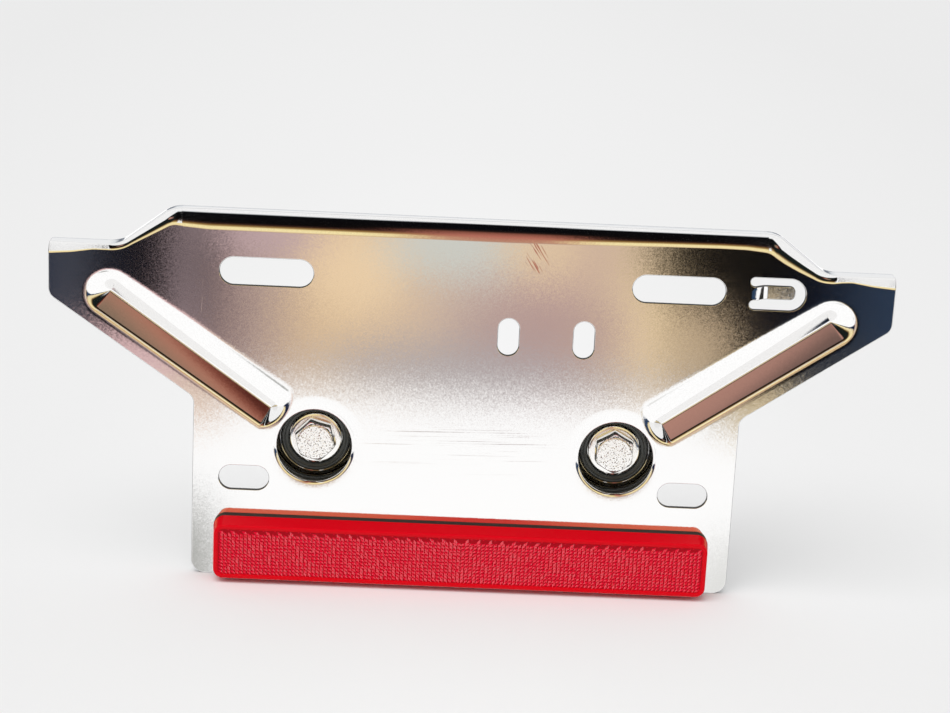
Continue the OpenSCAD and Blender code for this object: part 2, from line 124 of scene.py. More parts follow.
def mix(tree, factor, first, second):
    node = tree.nodes.new("ShaderNodeMix")
    node.data_type = "RGBA"
    for name, value in (("Factor", factor), ("A", first), ("B", second)):
        socket = [s for s in node.inputs if s.name == name and s.enabled][0]
        if isinstance(value, (int, float, tuple)):
            socket.default_value = value
        else:
            tree.links.new(value, socket)
    return [s for s in node.outputs if s.enabled][0]


floor_corners = [(-9, -6, FLOOR_Z), (9, -6, FLOOR_Z), (9, 14, FLOOR_Z), (-9, 14, FLOOR_Z)]
floor_mesh = bpy.data.meshes.new("floor")
floor_mesh.from_pydata(floor_corners, [], [(0, 1, 2, 3)])
floor = bpy.data.objects.new("floor", floor_mesh)
scene.collection.objects.link(floor)
floor_material, tree, shader = new_material("floor")
floor_place = add_node(tree, "ShaderNodeTexCoord").outputs["Object"]
spread = add_node(tree, "ShaderNodeMapping")
spread.inputs["Location"].default_value = (0, 0.02, 0)
spread.inputs["Scale"].default_value = (2.2, 0.4, 0)
tree.links.new(floor_place, spread.inputs["Vector"])
distance = add_node(tree, "ShaderNodeVectorMath", operation="LENGTH")
tree.links.new(spread.outputs[0], distance.inputs[0])
# Painted pool of light: the floor's colour is brighter close to the bracket and darker further off.
painted_pool_stops = [(0.05, (0.90, 0.90, 0.90)), (0.35, (0.84, 0.84, 0.84)), (1.0, (0.80, 0.80, 0.80))]
painted_pool = ramp(tree, distance.outputs["Value"], painted_pool_stops)
tree.links.new(painted_pool, shader.inputs["Base Color"])
shader.inputs["Roughness"].default_value = 1
shader.inputs["Specular IOR Level"].default_value = 0
floor_mesh.materials.append(floor_material)
floor.visible_glossy = False

# Room and lamp
# What the chrome mirrors is a room in the world's shader, set out in degrees to
# the side and up: warm walls ahead, a dark ceiling, a white sky and a white
# ground. All else sees an even grey, and one broad lamp lights from above.
world = bpy.data.worlds.new("room")
scene.world = world
world.use_nodes = True
tree = world.node_tree
background = tree.nodes["Background"]
direction = add_node(tree, "ShaderNodeTexCoord").outputs["Generated"]
axes = add_node(tree, "ShaderNodeSeparateXYZ")
tree.links.new(direction, axes.inputs[0])
side = axes.outputs["X"]
ahead = maths(tree, "MULTIPLY", axes.outputs["Y"], -1.0)
pitch = maths(tree, "DEGREES", maths(tree, "ARCTAN2", axes.outputs["Z"], ahead))
azimuth = maths(tree, "DEGREES", maths(tree, "ARCSINE", side))


def scaled(stops, low, high, gain=1.0):
    """Ramp stops given in degrees from low to high, their colours times the gain."""
    reach = high - low
    return [((place - low) / reach, tuple(gain * part for part in colour)) for place, colour in stops]


def spot(colour, paint, centre, reach, strength=1.0):
    """A soft oval patch of paint; centre and reach are degrees to the side and up."""
    across = maths(tree, "DIVIDE", maths(tree, "SUBTRACT", azimuth, centre[0]), reach[0])
    along = maths(tree, "DIVIDE", maths(tree, "SUBTRACT", pitch, centre[1]), reach[1])
    off = maths(tree, "ADD", maths(tree, "MULTIPLY", across, across), maths(tree, "MULTIPLY", along, along))
    mask = maths(tree, "MULTIPLY", between(tree, off, 1.9, 0.2), strength)
    return mix(tree, mask, colour, (*paint, 1))


azimuth_share = maths(tree, "DIVIDE", maths(tree, "ADD", azimuth, 30.0), 60.0)
pitch_share = maths(tree, "DIVIDE", maths(tree, "ADD", pitch, 180.0), 360.0)

# The wall straight ahead, low down, which the flat of the sheet mirrors.
WARM = 0.93
wall = ramp(tree, azimuth_share, scaled([
    (-14, (0.012, 0.022, 0.060)),
    (-10.6, (0.012, 0.018, 0.042)),
    (-9.3, (0.070, 0.076, 0.098)),
    (-8.4, (0.008, 0.009, 0.016)),
    (-7.0, (0.003, 0.003, 0.004)),
    (-6.45, (0.40, 0.30, 0.32)),
    (-6.0, (0.13, 0.10, 0.11)),
    (-5.3, (0.32, 0.22, 0.21)),
    (-4.4, (0.52, 0.38, 0.33)),
    (-2.8, (0.86, 0.62, 0.38)),
    (-1.0, (0.84, 0.62, 0.42)),
    (1.0, (0.68, 0.52, 0.44)),
    (3.0, (0.64, 0.44, 0.40)),
    (4.6, (0.74, 0.54, 0.41)),
    (5.9, (1.0, 0.77, 0.47)),
    (6.7, (0.60, 0.44, 0.26)),
    (7.2, (0.012, 0.009, 0.007)),
    (8.2, (0.005, 0.004, 0.005)),
    (10.2, (0.004, 0.006, 0.014)),
    (11.4, (0.026, 0.040, 0.070)),
    (14, (0.03, 0.06, 0.12)),
], -30, 30, WARM))
wall = spot(wall, (0.58, 0.42, 0.43), (-4.2, -12.3), (1.5, 0.8))
wall = spot(wall, (0.98, 0.74, 0.47), (-2.0, -13.2), (1.3, 1.1), 0.8)
wall = spot(wall, (0.09, 0.07, 0.075), (-5.9, -12.9), (0.5, 0.8), 0.5)
wall = spot(wall, (0.68, 0.71, 0.66), (0.7, -12.4), (1.9, 0.9), 0.95)
wall = spot(wall, (0.86, 0.65, 0.42), (2.9, -12.4), (1.1, 0.9), 0.9)
wall = spot(wall, (0.48, 0.33, 0.31), (3.0, -14.6), (2.2, 0.9), 0.7)
wall = spot(wall, (0.45, 0.40, 0.41), (0.3, -15.6), (3.0, 0.7), 0.7)
wall = spot(wall, (0.003, 0.003, 0.003), (7.8, -12.2), (2.05, 1.75))
wall = spot(wall, (0.60, 0.45, 0.29), (7.1, -14.9), (0.95, 1.1), 0.9)
wall = spot(wall, (0.44, 0.40, 0.41), (1.8, -15.9), (4.8, 0.5), 0.8)

# Above it a bright cornice, a dark ceiling and a white sky behind.
over = ramp(tree, pitch_share, scaled([
    (-10, (0.66, 0.46, 0.25)),
    (-5, (1.0, 0.84, 0.46)),
    (7, (1.0, 0.84, 0.42)),
    (14, (0.38, 0.22, 0.07)),
    (24, (0.05, 0.02, 0.012)),
    (34, (0.004, 0.003, 0.003)),
    (93, (0.003, 0.003, 0.004)),
    (97, (0.42, 0.44, 0.46)),
    (104, (1.0, 1.0, 1.0)),
    (138, (1.0, 1.0, 1.0)),
    (143, (0.42, 0.45, 0.48)),
    (147, (1.0, 1.0, 1.0)),
    (165, (1.0, 1.0, 1.0)),
    (171.5, (0.72, 0.75, 0.78)),
    (175, (0.16, 0.18, 0.22)),
    (180, (0.30, 0.32, 0.36)),
], -180, 180))
lintel = ramp(tree, pitch_share, scaled([
    (-12, (0.50, 0.36, 0.28)),
    (-6, (0.54, 0.27, 0.18)),
    (20, (0.50, 0.17, 0.12)),
    (38, (0.27, 0.09, 0.06)),
    (48, (0.02, 0.01, 0.008)),
    (60, (0.003, 0.003, 0.004)),
    (97, (0.003, 0.003, 0.004)),
    (101, (0.35, 0.36, 0.38)),
    (106, (1.0, 1.0, 1.0)),
], -180, 180))
near_middle = maths(tree, "MULTIPLY", between(tree, azimuth, -1.6, 0.8), between(tree, azimuth, 4.6, 3.0))
near_middle = maths(tree, "MULTIPLY", near_middle, between(tree, pitch, 110, 106))
over = mix(tree, near_middle, over, lintel)

# Further round to both sides the ceiling ends sooner and the cornice climbs.
flank = ramp(tree, pitch_share, scaled([
    (-30, (1.0, 1.0, 1.0)),
    (-12, (0.50, 0.42, 0.34)),
    (-6, (0.98, 0.84, 0.50)),
    (3, (0.90, 0.74, 0.40)),
    (9, (0.22, 0.13, 0.05)),
    (14, (0.010, 0.014, 0.012)),
    (93, (0.006, 0.007, 0.009)),
    (97, (0.42, 0.44, 0.46)),
    (104, (1.0, 1.0, 1.0)),
    (138, (1.0, 1.0, 1.0)),
    (143, (0.42, 0.45, 0.48)),
    (147, (1.0, 1.0, 1.0)),
    (165, (1.0, 1.0, 1.0)),
    (172, (0.20, 0.22, 0.26)),
    (180, (0.30, 0.32, 0.36)),
], -180, 180))
turned = maths(tree, "ABSOLUTE", azimuth)
room = mix(tree, between(tree, turned, 15, 21), over, flank)
room = mix(tree, between(tree, pitch, -11.3, -8.9), wall, room)
past = maths(tree, "MAXIMUM", maths(tree, "SUBTRACT", turned, 13.0), 0.0)
ceiling_end = maths(tree, "ADD", pitch, maths(tree, "MULTIPLY", past, 1.9))
open_sky = maths(tree, "MULTIPLY", between(tree, ceiling_end, 92, 101), between(tree, turned, 13, 16))
open_sky = maths(tree, "MULTIPLY", open_sky, between(tree, pitch, 110, 100))
room = mix(tree, open_sky, room, (1.0, 1.0, 1.0, 1))

# A bright upright gap on each side, which only the ears' level flanges catch.
left_gap = maths(tree, "MULTIPLY", between(tree, azimuth, -8.1, -8.5), between(tree, azimuth, -10.8, -10.3))
right_gap = maths(tree, "MULTIPLY", between(tree, azimuth, 10.2, 10.6), between(tree, azimuth, 12.9, 12.4))
gaps = maths(tree, "ADD", left_gap, right_gap)
gap_height = maths(tree, "MULTIPLY", between(tree, pitch, 4, 9), between(tree, pitch, 112, 104))
gaps = maths(tree, "MULTIPLY", gaps, gap_height)
room = mix(tree, gaps, room, (1.0, 1.0, 1.0, 1))

# The warm patches that the grooves' lower walls mirror.
left_side = ramp(tree, azimuth_share, scaled([
    (-30, (0.52, 0.27, 0.21)),
    (-27, (0.45, 0.24, 0.19)),
    (-24, (0.20, 0.12, 0.10)),
], -30, 30, WARM))
right_share = maths(tree, "DIVIDE", maths(tree, "SUBTRACT", azimuth, 20.0), 20.0)
right_side = ramp(tree, right_share, scaled([
    (25.5, (0.28, 0.19, 0.13)),
    (27.5, (0.40, 0.22, 0.15)),
    (29.3, (0.50, 0.22, 0.15)),
    (30.6, (0.30, 0.09, 0.06)),
    (32.0, (0.10, 0.022, 0.015)),
], 20, 40, WARM))
on_left = maths(tree, "MULTIPLY", between(tree, azimuth, -34, -31.5), between(tree, azimuth, -21, -23))
on_right = maths(tree, "MULTIPLY", between(tree, azimuth, 21, 23.5), between(tree, azimuth, 36, 33.5))
high = maths(tree, "MULTIPLY", between(tree, pitch, 34, 37), between(tree, pitch, 52, 48))
room = mix(tree, maths(tree, "MULTIPLY", on_left, high), room, left_side)
room = mix(tree, maths(tree, "MULTIPLY", on_right, high), room, right_side)

# The white ground in front, which the lower half mirrors, with its soft shades.
GROUND = 1.13
room = mix(tree, between(tree, pitch, -15.8, -16.95), room, (GROUND, GROUND, GROUND, 1))
room = spot(room, (0.80, 0.54, 0.54), (-7.9, -15.9), (1.9, 0.9))
room = spot(room, (0.66, 0.52, 0.31), (8.7, -16.4), (1.1, 0.7))
room = spot(room, (0.035, 0.040, 0.050), (10.9, -15.5), (1.2, 0.8))
room = spot(room, (0.80, 0.60, 0.46), (-6.0, -16.7), (1.0, 0.7), 0.9)
room = spot(room, (0.42, 0.42, 0.40), (-6.4, -21.2), (1.3, 1.9), 0.95)
room = spot(room, (0.80, 0.80, 0.78), (8.3, -21.4), (1.4, 1.5), 0.9)
rays = add_node(tree, "ShaderNodeLightPath")
EVEN_GREY = (0.62, 0.62, 0.62, 1)
tree.links.new(mix(tree, rays.outputs["Is Glossy Ray"], EVEN_GREY, room), background.inputs["Color"])

LAMP_STRENGTH = 1.5
LAMP_SPREAD = radians(50)
key_data = bpy.data.lights.new("softbox", "SUN")
key_data.energy = LAMP_STRENGTH
key_data.angle = LAMP_SPREAD
key = bpy.data.objects.new("softbox", key_data)
key.matrix_world = Vector((-0.35, -0.6, 1.3)).to_track_quat("Z", "Y").to_matrix().to_4x4()
key.visible_glossy = False
scene.collection.objects.link(key)

# Chrome plating
# Bright plating over pressed steel: an almost even mirror whose fine grain
# breaks up its reflections, with scuffs between the bolts, a few short cuts near
# the top edge and one hairline on the left.
chrome, tree, shader = new_material("chromed_sheet")
shader.inputs["Metallic"].default_value = 1
shader.inputs["Roughness"].default_value = 0.05
place = add_node(tree, "ShaderNodeTexCoord").outputs["Object"]
speckle = add_node(tree, "ShaderNodeTexNoise", Scale=6000.0, Detail=0.0)
tree.links.new(place, speckle.inputs["Vector"])
plating = ramp(tree, speckle.outputs["Fac"], [(0.38, (0.83, 0.825, 0.82)), (0.62, (0.92, 0.915, 0.91))])
tree.links.new(plating, shader.inputs["Base Color"])
place_axes = add_node(tree, "ShaderNodeSeparateXYZ")
tree.links.new(place, place_axes.inputs[0])
place_x = maths(tree, "MULTIPLY", place_axes.outputs["X"], 1000.0)
place_z = maths(tree, "MULTIPLY", place_axes.outputs["Z"], 1000.0)


def vector(tree, operation, first, second):
    node = tree.nodes.new("ShaderNodeVectorMath")
    node.operation = operation
    for socket, value in zip(node.inputs, (first, second)):
        if isinstance(value, tuple):
            socket.default_value = value
        elif value is not None:
            tree.links.new(value, socket)
    return node


def grain(tree, place, scale, height):
    """Small random tilts of the surface, as a vector to add to its normal."""
    noise = add_node(tree, "ShaderNodeTexNoise", Scale=scale, Detail=1.0)
    tree.links.new(place, noise.inputs["Vector"])
    middle = vector(tree, "SUBTRACT", noise.outputs["Color"], (0.5, 0.5, 0.5))
    tilt = vector(tree, "SCALE", middle.outputs[0], None)
    tilt.inputs["Scale"].default_value = height
    return tilt.outputs[0]


def scratches(tree, centre, reach, angle, spacing, seed):
    """A patch of fine parallel scratches; lengths in millimetres, angle in degrees."""
    dx = maths(tree, "SUBTRACT", place_x, centre[0])
    dz = maths(tree, "SUBTRACT", place_z, centre[1])
    cosine, sine = cos(radians(angle)), sin(radians(angle))
    along = maths(tree, "ADD", maths(tree, "MULTIPLY", dx, cosine), maths(tree, "MULTIPLY", dz, sine))
    across = maths(tree, "SUBTRACT", maths(tree, "MULTIPLY", dz, cosine), maths(tree, "MULTIPLY", dx, sine))
    lines = add_node(tree, "ShaderNodeCombineXYZ")
    tree.links.new(maths(tree, "DIVIDE", along, reach[0] * 1.4), lines.inputs[0])
    tree.links.new(maths(tree, "DIVIDE", across, spacing), lines.inputs[1])
    lines.inputs[2].default_value = seed
    noise = add_node(tree, "ShaderNodeTexNoise", Scale=1.0, Detail=2.0)
    tree.links.new(lines.outputs[0], noise.inputs["Vector"])
    far_x = maths(tree, "DIVIDE", along, reach[0])
    far_z = maths(tree, "DIVIDE", across, reach[1])
    off = maths(tree, "ADD", maths(tree, "MULTIPLY", far_x, far_x), maths(tree, "MULTIPLY", far_z, far_z))
    marks = between(tree, noise.outputs["Fac"], 0.56, 0.66)
    return maths(tree, "MULTIPLY", marks, between(tree, off, 1.0, 0.4))


normal = add_node(tree, "ShaderNodeNewGeometry").outputs["Normal"]
rough = vector(tree, "ADD", normal, grain(tree, place, 2400.0, 0.012)).outputs[0]
rough = vector(tree, "ADD", rough, grain(tree, place, 9000.0, 0.027)).outputs[0]
scuffs = scratches(tree, centre=(-3, -1), reach=(40, 12), angle=1.5, spacing=0.5, seed=0.0)
cuts = scratches(tree, centre=(20, 67), reach=(6, 4), angle=-58, spacing=0.5, seed=3.0)
hairline = scratches(tree, centre=(-87.5, 52), reach=(14, 0.25), angle=88, spacing=0.4, seed=7.0)
lifted = maths(tree, "ADD", maths(tree, "MULTIPLY", scuffs, 0.012), maths(tree, "MULTIPLY", cuts, 0.3))
lifted = maths(tree, "SUBTRACT", lifted, maths(tree, "MULTIPLY", hairline, 0.05))
lift = add_node(tree, "ShaderNodeCombineXYZ")
tree.links.new(lifted, lift.inputs[2])
rough = vector(tree, "ADD", rough, lift.outputs[0]).outputs[0]
tree.links.new(vector(tree, "NORMALIZE", rough, None).outputs[0], shader.inputs["Normal"])

# The sheared edge of the sheet is dull, and its dark colour is painted shade.
edge_painted_shade, tree, shader = new_material("sheared_edge_painted_shade")
shader.inputs["Base Color"].default_value = (0.035, 0.032, 0.03, 1)
shader.inputs["Specular IOR Level"].default_value = 0.2
shader.inputs["Roughness"].default_value = 0.5
place = add_node(tree, "ShaderNodeTexCoord").outputs["Object"]
normal = add_node(tree, "ShaderNodeNewGeometry").outputs["Normal"]
rough = vector(tree, "ADD", normal, grain(tree, place, 3000.0, 0.2)).outputs[0]
tree.links.new(vector(tree, "NORMALIZE", rough, None).outputs[0], shader.inputs["Normal"])

# Bracket: outline
# One blank of 1.6 mm steel sheet, drawn here in millimetres, x across and z up.
# Its flange's outer contour runs from ear to ear over the crown, and the bend
# line lies inside that by the bend's radius, which changes along the edge.
FACE_Y = -19.0
SHEET_T = 1.6
EAR_X = 137.4
CROWN_X = 95.0
CROWN_Z = 77.5
EAR_Z = 65.0
SWEEP_R = 10.1
SWEEP_TURN = radians(36.8699)
CROWN_CREASE = radians(7)
CROWN_CENTRE = np.array([CROWN_X, CROWN_Z - SWEEP_R])
VALLEY_CENTRE = np.array([118.4, EAR_Z + SWEEP_R])
PANEL_X = 90.0
PANEL_LOW_Z = -46.2
WING_ROOT_Z = 15.0
WING_ANGLE = radians(34.6)
EDGE_R = 0.25
FLANGE_DEPTH = 8.0


def line(start, end, step):
    count = max(1, int(np.ceil(np.hypot(*np.subtract(end, start)) / step)))
    return [tuple(np.add(start, np.subtract(end, start) * i / count)) for i in range(count)]


def arc(centre, radius, start, end, step=radians(5)):
    count = max(2, int(np.ceil(abs(end - start) / step)))
    turns = [start + (end - start) * i / count for i in range(count + 1)]
    return [(centre[0] + radius * cos(a), centre[1] + radius * sin(a)) for a in turns]


def flange_contour():
    """Points and outward normals of the flange's outer edge, from the middle to the right ear."""
    points = []
    normals = []
    for x in np.arange(0, CROWN_X - 0.5, 1.25):
        points.append((x, CROWN_Z))
        normals.append((0, 1))
    points.append((CROWN_X - 0.03, CROWN_Z))
    normals.append((0, 1))
    for a in np.linspace(0, SWEEP_TURN, 12):
        way = np.array([sin(a), cos(a)])
        points.append(tuple(CROWN_CENTRE + SWEEP_R * way))
        # The bend turns into the slope with a crease, where the sheet was folded hard.
        turned = max(a, CROWN_CREASE)
        normals.append((sin(turned), cos(turned)))
    slope_start = np.array(points[-1])
    slope_end = VALLEY_CENTRE - SWEEP_R * np.array([sin(SWEEP_TURN), cos(SWEEP_TURN)])
    for share in np.linspace(0, 1, 12)[1:-1]:
        points.append(tuple(slope_start + (slope_end - slope_start) * share))
        normals.append(normals[-1])
    for a in np.linspace(SWEEP_TURN, 0, 12):
        way = np.array([sin(a), cos(a)])
        points.append(tuple(VALLEY_CENTRE - SWEEP_R * way))
        normals.append(tuple(way))
    ear_end = EAR_X - EDGE_R
    for x in np.linspace(VALLEY_CENTRE[0], ear_end, 16)[1:]:
        points.append((x, EAR_Z))
        normals.append((0, 1))
    return np.array(points), np.array(normals)


half_points, half_normals = flange_contour()
flip = np.array([-1, 1])
contour = np.vstack([(half_points * flip)[:0:-1], half_points])
contour_out = np.vstack([(half_normals * flip)[:0:-1], half_normals])
# The bend's radius at places along the edge, each keyed by its x.
BENDS_LEFT = {-140: 3.9, -130: 3.0, -123: 1.8, -118: 1.8, -112: 2.4, -105: 3.7, -100: 4.6, -95: 5.4, -86: 6.1}
BENDS_RIGHT = {
    10: 6.1, 30: 5.9, 60: 5.2, 80: 4.9, 88: 5.0, 94: 5.6, 98: 6.2, 101: 6.4, 104: 6.1,
    108: 5.2, 112: 4.0, 116: 2.8, 119: 2.1, 123: 1.85, 130: 3.0, 140: 3.9,
}
bends = {**BENDS_LEFT, **BENDS_RIGHT}
bend_r = np.interp(contour[:, 0], list(bends), list(bends.values()))
bend_line = contour - contour_out * bend_r[:, None]


def lower_outline():
    """Right half of the sheet's free edge, from the bottom's middle up to the ear."""
    e = EDGE_R
    fillet = 4.0
    corner = 4.5
    turn = (pi / 2 - WING_ANGLE) / 2
    cut = fillet * tan(turn)
    ear_low = np.array([EAR_X, WING_ROOT_Z + (EAR_X - PANEL_X) * tan(WING_ANGLE)])
    corner_arc = arc((PANEL_X - corner, PANEL_LOW_Z + corner), corner - e, -pi / 2, 0, radians(9))
    root_arc = arc((PANEL_X + fillet, WING_ROOT_Z - cut), fillet + e, pi, pi / 2 + WING_ANGLE, radians(7))
    ear_arc = arc(ear_low + [-fillet, cut], fillet - e, WING_ANGLE - pi / 2, 0, radians(7))
    points = line((0, PANEL_LOW_Z + e), corner_arc[0], 2)
    points += corner_arc[:-1]
    points += line(corner_arc[-1], root_arc[0], 2)
    points += root_arc[:-1]
    points += line(root_arc[-1], ear_arc[0], 1.5)
    points += ear_arc[:-1]
    points += line(ear_arc[-1], tuple(bend_line[-1]), 1.2)
    return np.array(points)


lower_right = lower_outline()
lower_left = (lower_right * flip)[:0:-1]
outer_loop = np.vstack([lower_right, bend_line[::-1], lower_left])


# Bracket: openings
# Punched slots, the lanced cable tongue's gap and the stud holes, each set out
# by the round of its edge. The two drawn cups join the sheet along a circle.
CUP_X = 50.0
CUP_JOINT_R = 13.6
RIM_START_R = 17.5
RIM_DISH = 0.05
CUP_SIDES = 108
UPPER_SLOT = (67, 58.2, 30.4, 9.2)
LOWER_SLOT = (73, -12, 16.6, 8.4)
UPRIGHT_SLOTS_X = (12.3, 37)
UPRIGHT_SLOT_Z = 40
UPRIGHT_SLOT_LEN = 12.5
UPRIGHT_SLOT_W = 6.9
STUD_X = 60
STUD_Z = -35.2
STUD_HOLE_R = 2.8
STUD_HOLE_SIDES = 24


def slot_loop(x, z, length, width, upright=False):
    radius = width / 2 + EDGE_R
    reach = (length - width) / 2
    points = arc((reach, 0), radius, -pi / 2, pi / 2) + arc((-reach, 0), radius, pi / 2, 3 * pi / 2)
    points = np.array(points)
    if upright:
        points = points[:, ::-1] * [-1, 1]
    return points + [x, z]


def circle_loop(x, z, radius, sides):
    turns = np.linspace(0, 2 * pi, sides, endpoint=False)
    return np.column_stack([x + radius * np.cos(turns), z + radius * np.sin(turns)])


TONGUE_X = 91.6
TONGUE_Z = 58.2
TONGUE_W = 4.5
TONGUE_LEN = 13.6
TONGUE_GAP = 3.1


def tongue_gap_loop():
    """The U-shaped gap: lobes at the root, a round nose, and the tongue's outline inside."""
    e = EDGE_R
    lobe_r = TONGUE_GAP / 2 + e
    lobe_z = (TONGUE_W + TONGUE_GAP) / 2
    nose_r = TONGUE_W / 2 + TONGUE_GAP
    nose_x = TONGUE_LEN + TONGUE_GAP - nose_r
    tip_r = TONGUE_W / 3
    half = TONGUE_W / 2 - e
    tip_x = TONGUE_LEN - e
    points = arc((nose_x, 0), nose_r + e, -pi / 2, pi / 2, radians(6))
    points += arc((0, lobe_z), lobe_r, pi / 2, 3 * pi / 2, radians(12))
    points += line((0.6, half), (tip_x - tip_r, half), 0.5)
    points += arc((tip_x - tip_r, half - tip_r), tip_r, pi / 2, 0, radians(12))
    points += arc((tip_x - tip_r, tip_r - half), tip_r, 0, -pi / 2, radians(12))
    points += line((tip_x - tip_r, -half), (0.6, -half), 0.5)[1:] + [(0.6, -half)]
    points += arc((0, -lobe_z), lobe_r, pi / 2, 3 * pi / 2, radians(12))
    return np.array(points) + [TONGUE_X, TONGUE_Z]


hole_loops = []
for x, z, length, width in (UPPER_SLOT, LOWER_SLOT):
    hole_loops.append(slot_loop(-x, z, length, width))
    hole_loops.append(slot_loop(x, z, length, width))
for x in UPRIGHT_SLOTS_X:
    hole_loops.append(slot_loop(x, UPRIGHT_SLOT_Z, UPRIGHT_SLOT_LEN, UPRIGHT_SLOT_W, upright=True))
hole_loops.append(tongue_gap_loop())
for x in (-STUD_X, STUD_X):
    hole_loops.append(circle_loop(x, STUD_Z, STUD_HOLE_R + EDGE_R, STUD_HOLE_SIDES))
for x in (-CUP_X, CUP_X):
    hole_loops.append(circle_loop(x, 0, CUP_JOINT_R, CUP_SIDES))


# Bracket: grooves and tongue
# Pressed into the flat sheet: two stiffening V grooves that taper towards the
# bolts, the shallow dish round each cup, and the tongue, joggled back so that a
# cable can be clipped behind it. Depths are measured behind the face.
GROOVE_OUT = np.array([117.8, 48.8])
GROOVE_IN = np.array([64.9, 11.6])
GROOVE_LEN = np.hypot(*(GROOVE_IN - GROOVE_OUT))
GROOVE_DIR = (GROOVE_IN - GROOVE_OUT) / GROOVE_LEN
GROOVE_ACROSS = np.array([-GROOVE_DIR[1], GROOVE_DIR[0]])
GROOVE_D = 4.35
GROOVE_TAPER = 0.13
ROOT_R = 1.1
INNER_SQUASH = 1.75
JOGGLE_AT = (0.3, 1.1, 3.4, 4.2, 20)
JOGGLE_D = (0, 0.25, 2.1, 2.4, 2.45)
TONGUE_DROOP = 0.022


def wall_profile(flare_w, flare_slope, shoulder_r, wall_slope):
    """Distance from the bottom line against depth, for one side at the outer end."""
    wall_turn = np.arctan(wall_slope)
    flare_turn = np.arctan(flare_slope)
    shoulder_run = shoulder_r * (sin(wall_turn) - sin(flare_turn))
    root_run = ROOT_R * sin(wall_turn)
    root_fall = ROOT_R * (1 - cos(wall_turn))
    shoulder_fall = shoulder_r * (cos(flare_turn) - cos(wall_turn))
    wall_fall = GROOVE_D - flare_w * flare_slope / 3 - shoulder_fall - root_fall
    wall_run = wall_fall / wall_slope
    total = flare_w + shoulder_run + wall_run + root_run
    run = np.linspace(0, total, 1500)
    sine = sin(flare_turn) + (run - flare_w) / shoulder_r
    shoulder = np.clip(sine, 0, sin(wall_turn))
    slope = np.where(run < flare_w, (run / flare_w) ** 2 * flare_slope, shoulder / np.sqrt(1 - shoulder ** 2))
    left = np.clip((total - run) / ROOT_R, 0, sin(wall_turn))
    slope = np.minimum(slope, np.where(run > total - root_run, left / np.sqrt(1 - left ** 2), 9))
    slope *= np.interp(run, [flare_w + shoulder_run, total - root_run], [0.93, 1.07])
    fall = np.concatenate([[0], np.cumsum((slope[1:] + slope[:-1]) / 2 * np.diff(run))])
    marks = np.concatenate([
        np.linspace(0, flare_w, 5)[:-1],
        np.linspace(flare_w, flare_w + shoulder_run, 6)[:-1],
        np.linspace(flare_w + shoulder_run, total - root_run, 6)[:-1],
        [total - root_run, total - root_run / 2],
    ])
    return (total - run)[::-1], (fall * GROOVE_D / fall[-1])[::-1], total - marks


lower_side = wall_profile(flare_w=1.4, flare_slope=0.05, shoulder_r=3.6, wall_slope=0.66)
upper_side = wall_profile(flare_w=3.4, flare_slope=0.18, shoulder_r=3.4, wall_slope=0.66)


def groove_scales(along):
    """Depth and lower width, and upper width, as shares of their values at the outer end."""
    share = along / GROOVE_LEN
    spread = np.interp(share, [-0.12, 0.05, 0.4, 1], [0.85, 0.92, 1.0, 1.06])
    return 1 - GROOVE_TAPER * np.clip(share, 0, 1), spread


def groove_place(x, z):
    """Distance from the bottom line, how far that is on the upper side, and the scales."""
    dx = abs(x) - GROOVE_OUT[0]
    dz = z - GROOVE_OUT[1]
    along = dx * GROOVE_DIR[0] + dz * GROOVE_DIR[1]
    above = -(dx * GROOVE_ACROSS[0] + dz * GROOVE_ACROSS[1])
    scale, spread = groove_scales(along)
    before = np.minimum(along, 0)
    beyond = np.maximum(along - GROOVE_LEN, 0) * INNER_SQUASH
    off = np.sqrt(above ** 2 + before ** 2 + beyond ** 2)
    upper = 0.5 + 0.5 * above / np.maximum(off, 1e-6)
    return off, upper * upper * (3 - 2 * upper), scale, spread


def groove_depth(x, z):
    off, upper, scale, spread = groove_place(x, z)
    low = np.interp(off / scale, lower_side[0], lower_side[1])
    high = np.interp(off / spread, upper_side[0], upper_side[1])
    return scale * (low + (high - low) * upper)


def relief(x, z):
    """Depth of the sheet's front behind the face."""
    depth = groove_depth(x, z)
    cup_off = np.hypot(abs(x) - CUP_X, z)
    rim = np.clip((RIM_START_R - cup_off) / (RIM_START_R - CUP_JOINT_R), 0, None)
    depth = depth + RIM_DISH * rim ** 2
    on_tongue = (abs(z - TONGUE_Z) < TONGUE_W / 2 + 0.3) & (x > TONGUE_X) & (x < TONGUE_X + TONGUE_LEN + 0.5)
    from_root = x - TONGUE_X
    joggle = np.interp(from_root, JOGGLE_AT, JOGGLE_D)
    droop = TONGUE_DROOP * (TONGUE_Z - z) * np.clip(from_root / 4, 0, 1)
    return depth + np.where(on_tongue, joggle + droop, 0)


def relief_normals(x, z):
    step = 0.03
    slope_x = (relief(x + step, z) - relief(x - step, z)) / (2 * step)
    slope_z = (relief(x, z + step) - relief(x, z - step)) / (2 * step)
    normals = np.column_stack([slope_x, -np.ones(len(x)), slope_z])
    return normals / np.linalg.norm(normals, axis=1)[:, None]


# Bracket: front of the sheet
# The points follow every edge, each groove's own lines and rings round the cups,
# with a plain grid between them, and are joined into triangles that keep the
# loops as edges.
def in_loop(points, loop):
    inside = np.zeros(len(points), bool)
    x, z = points[:, 0], points[:, 1]
    ends = np.roll(loop, -1, axis=0)
    for (x0, z0), (x1, z1) in zip(loop, ends):
        if z0 == z1:
            continue
        crosses = (z0 > z) != (z1 > z)
        inside ^= crosses & (x < (x1 - x0) * (z - z0) / (z1 - z0) + x0)
    return inside


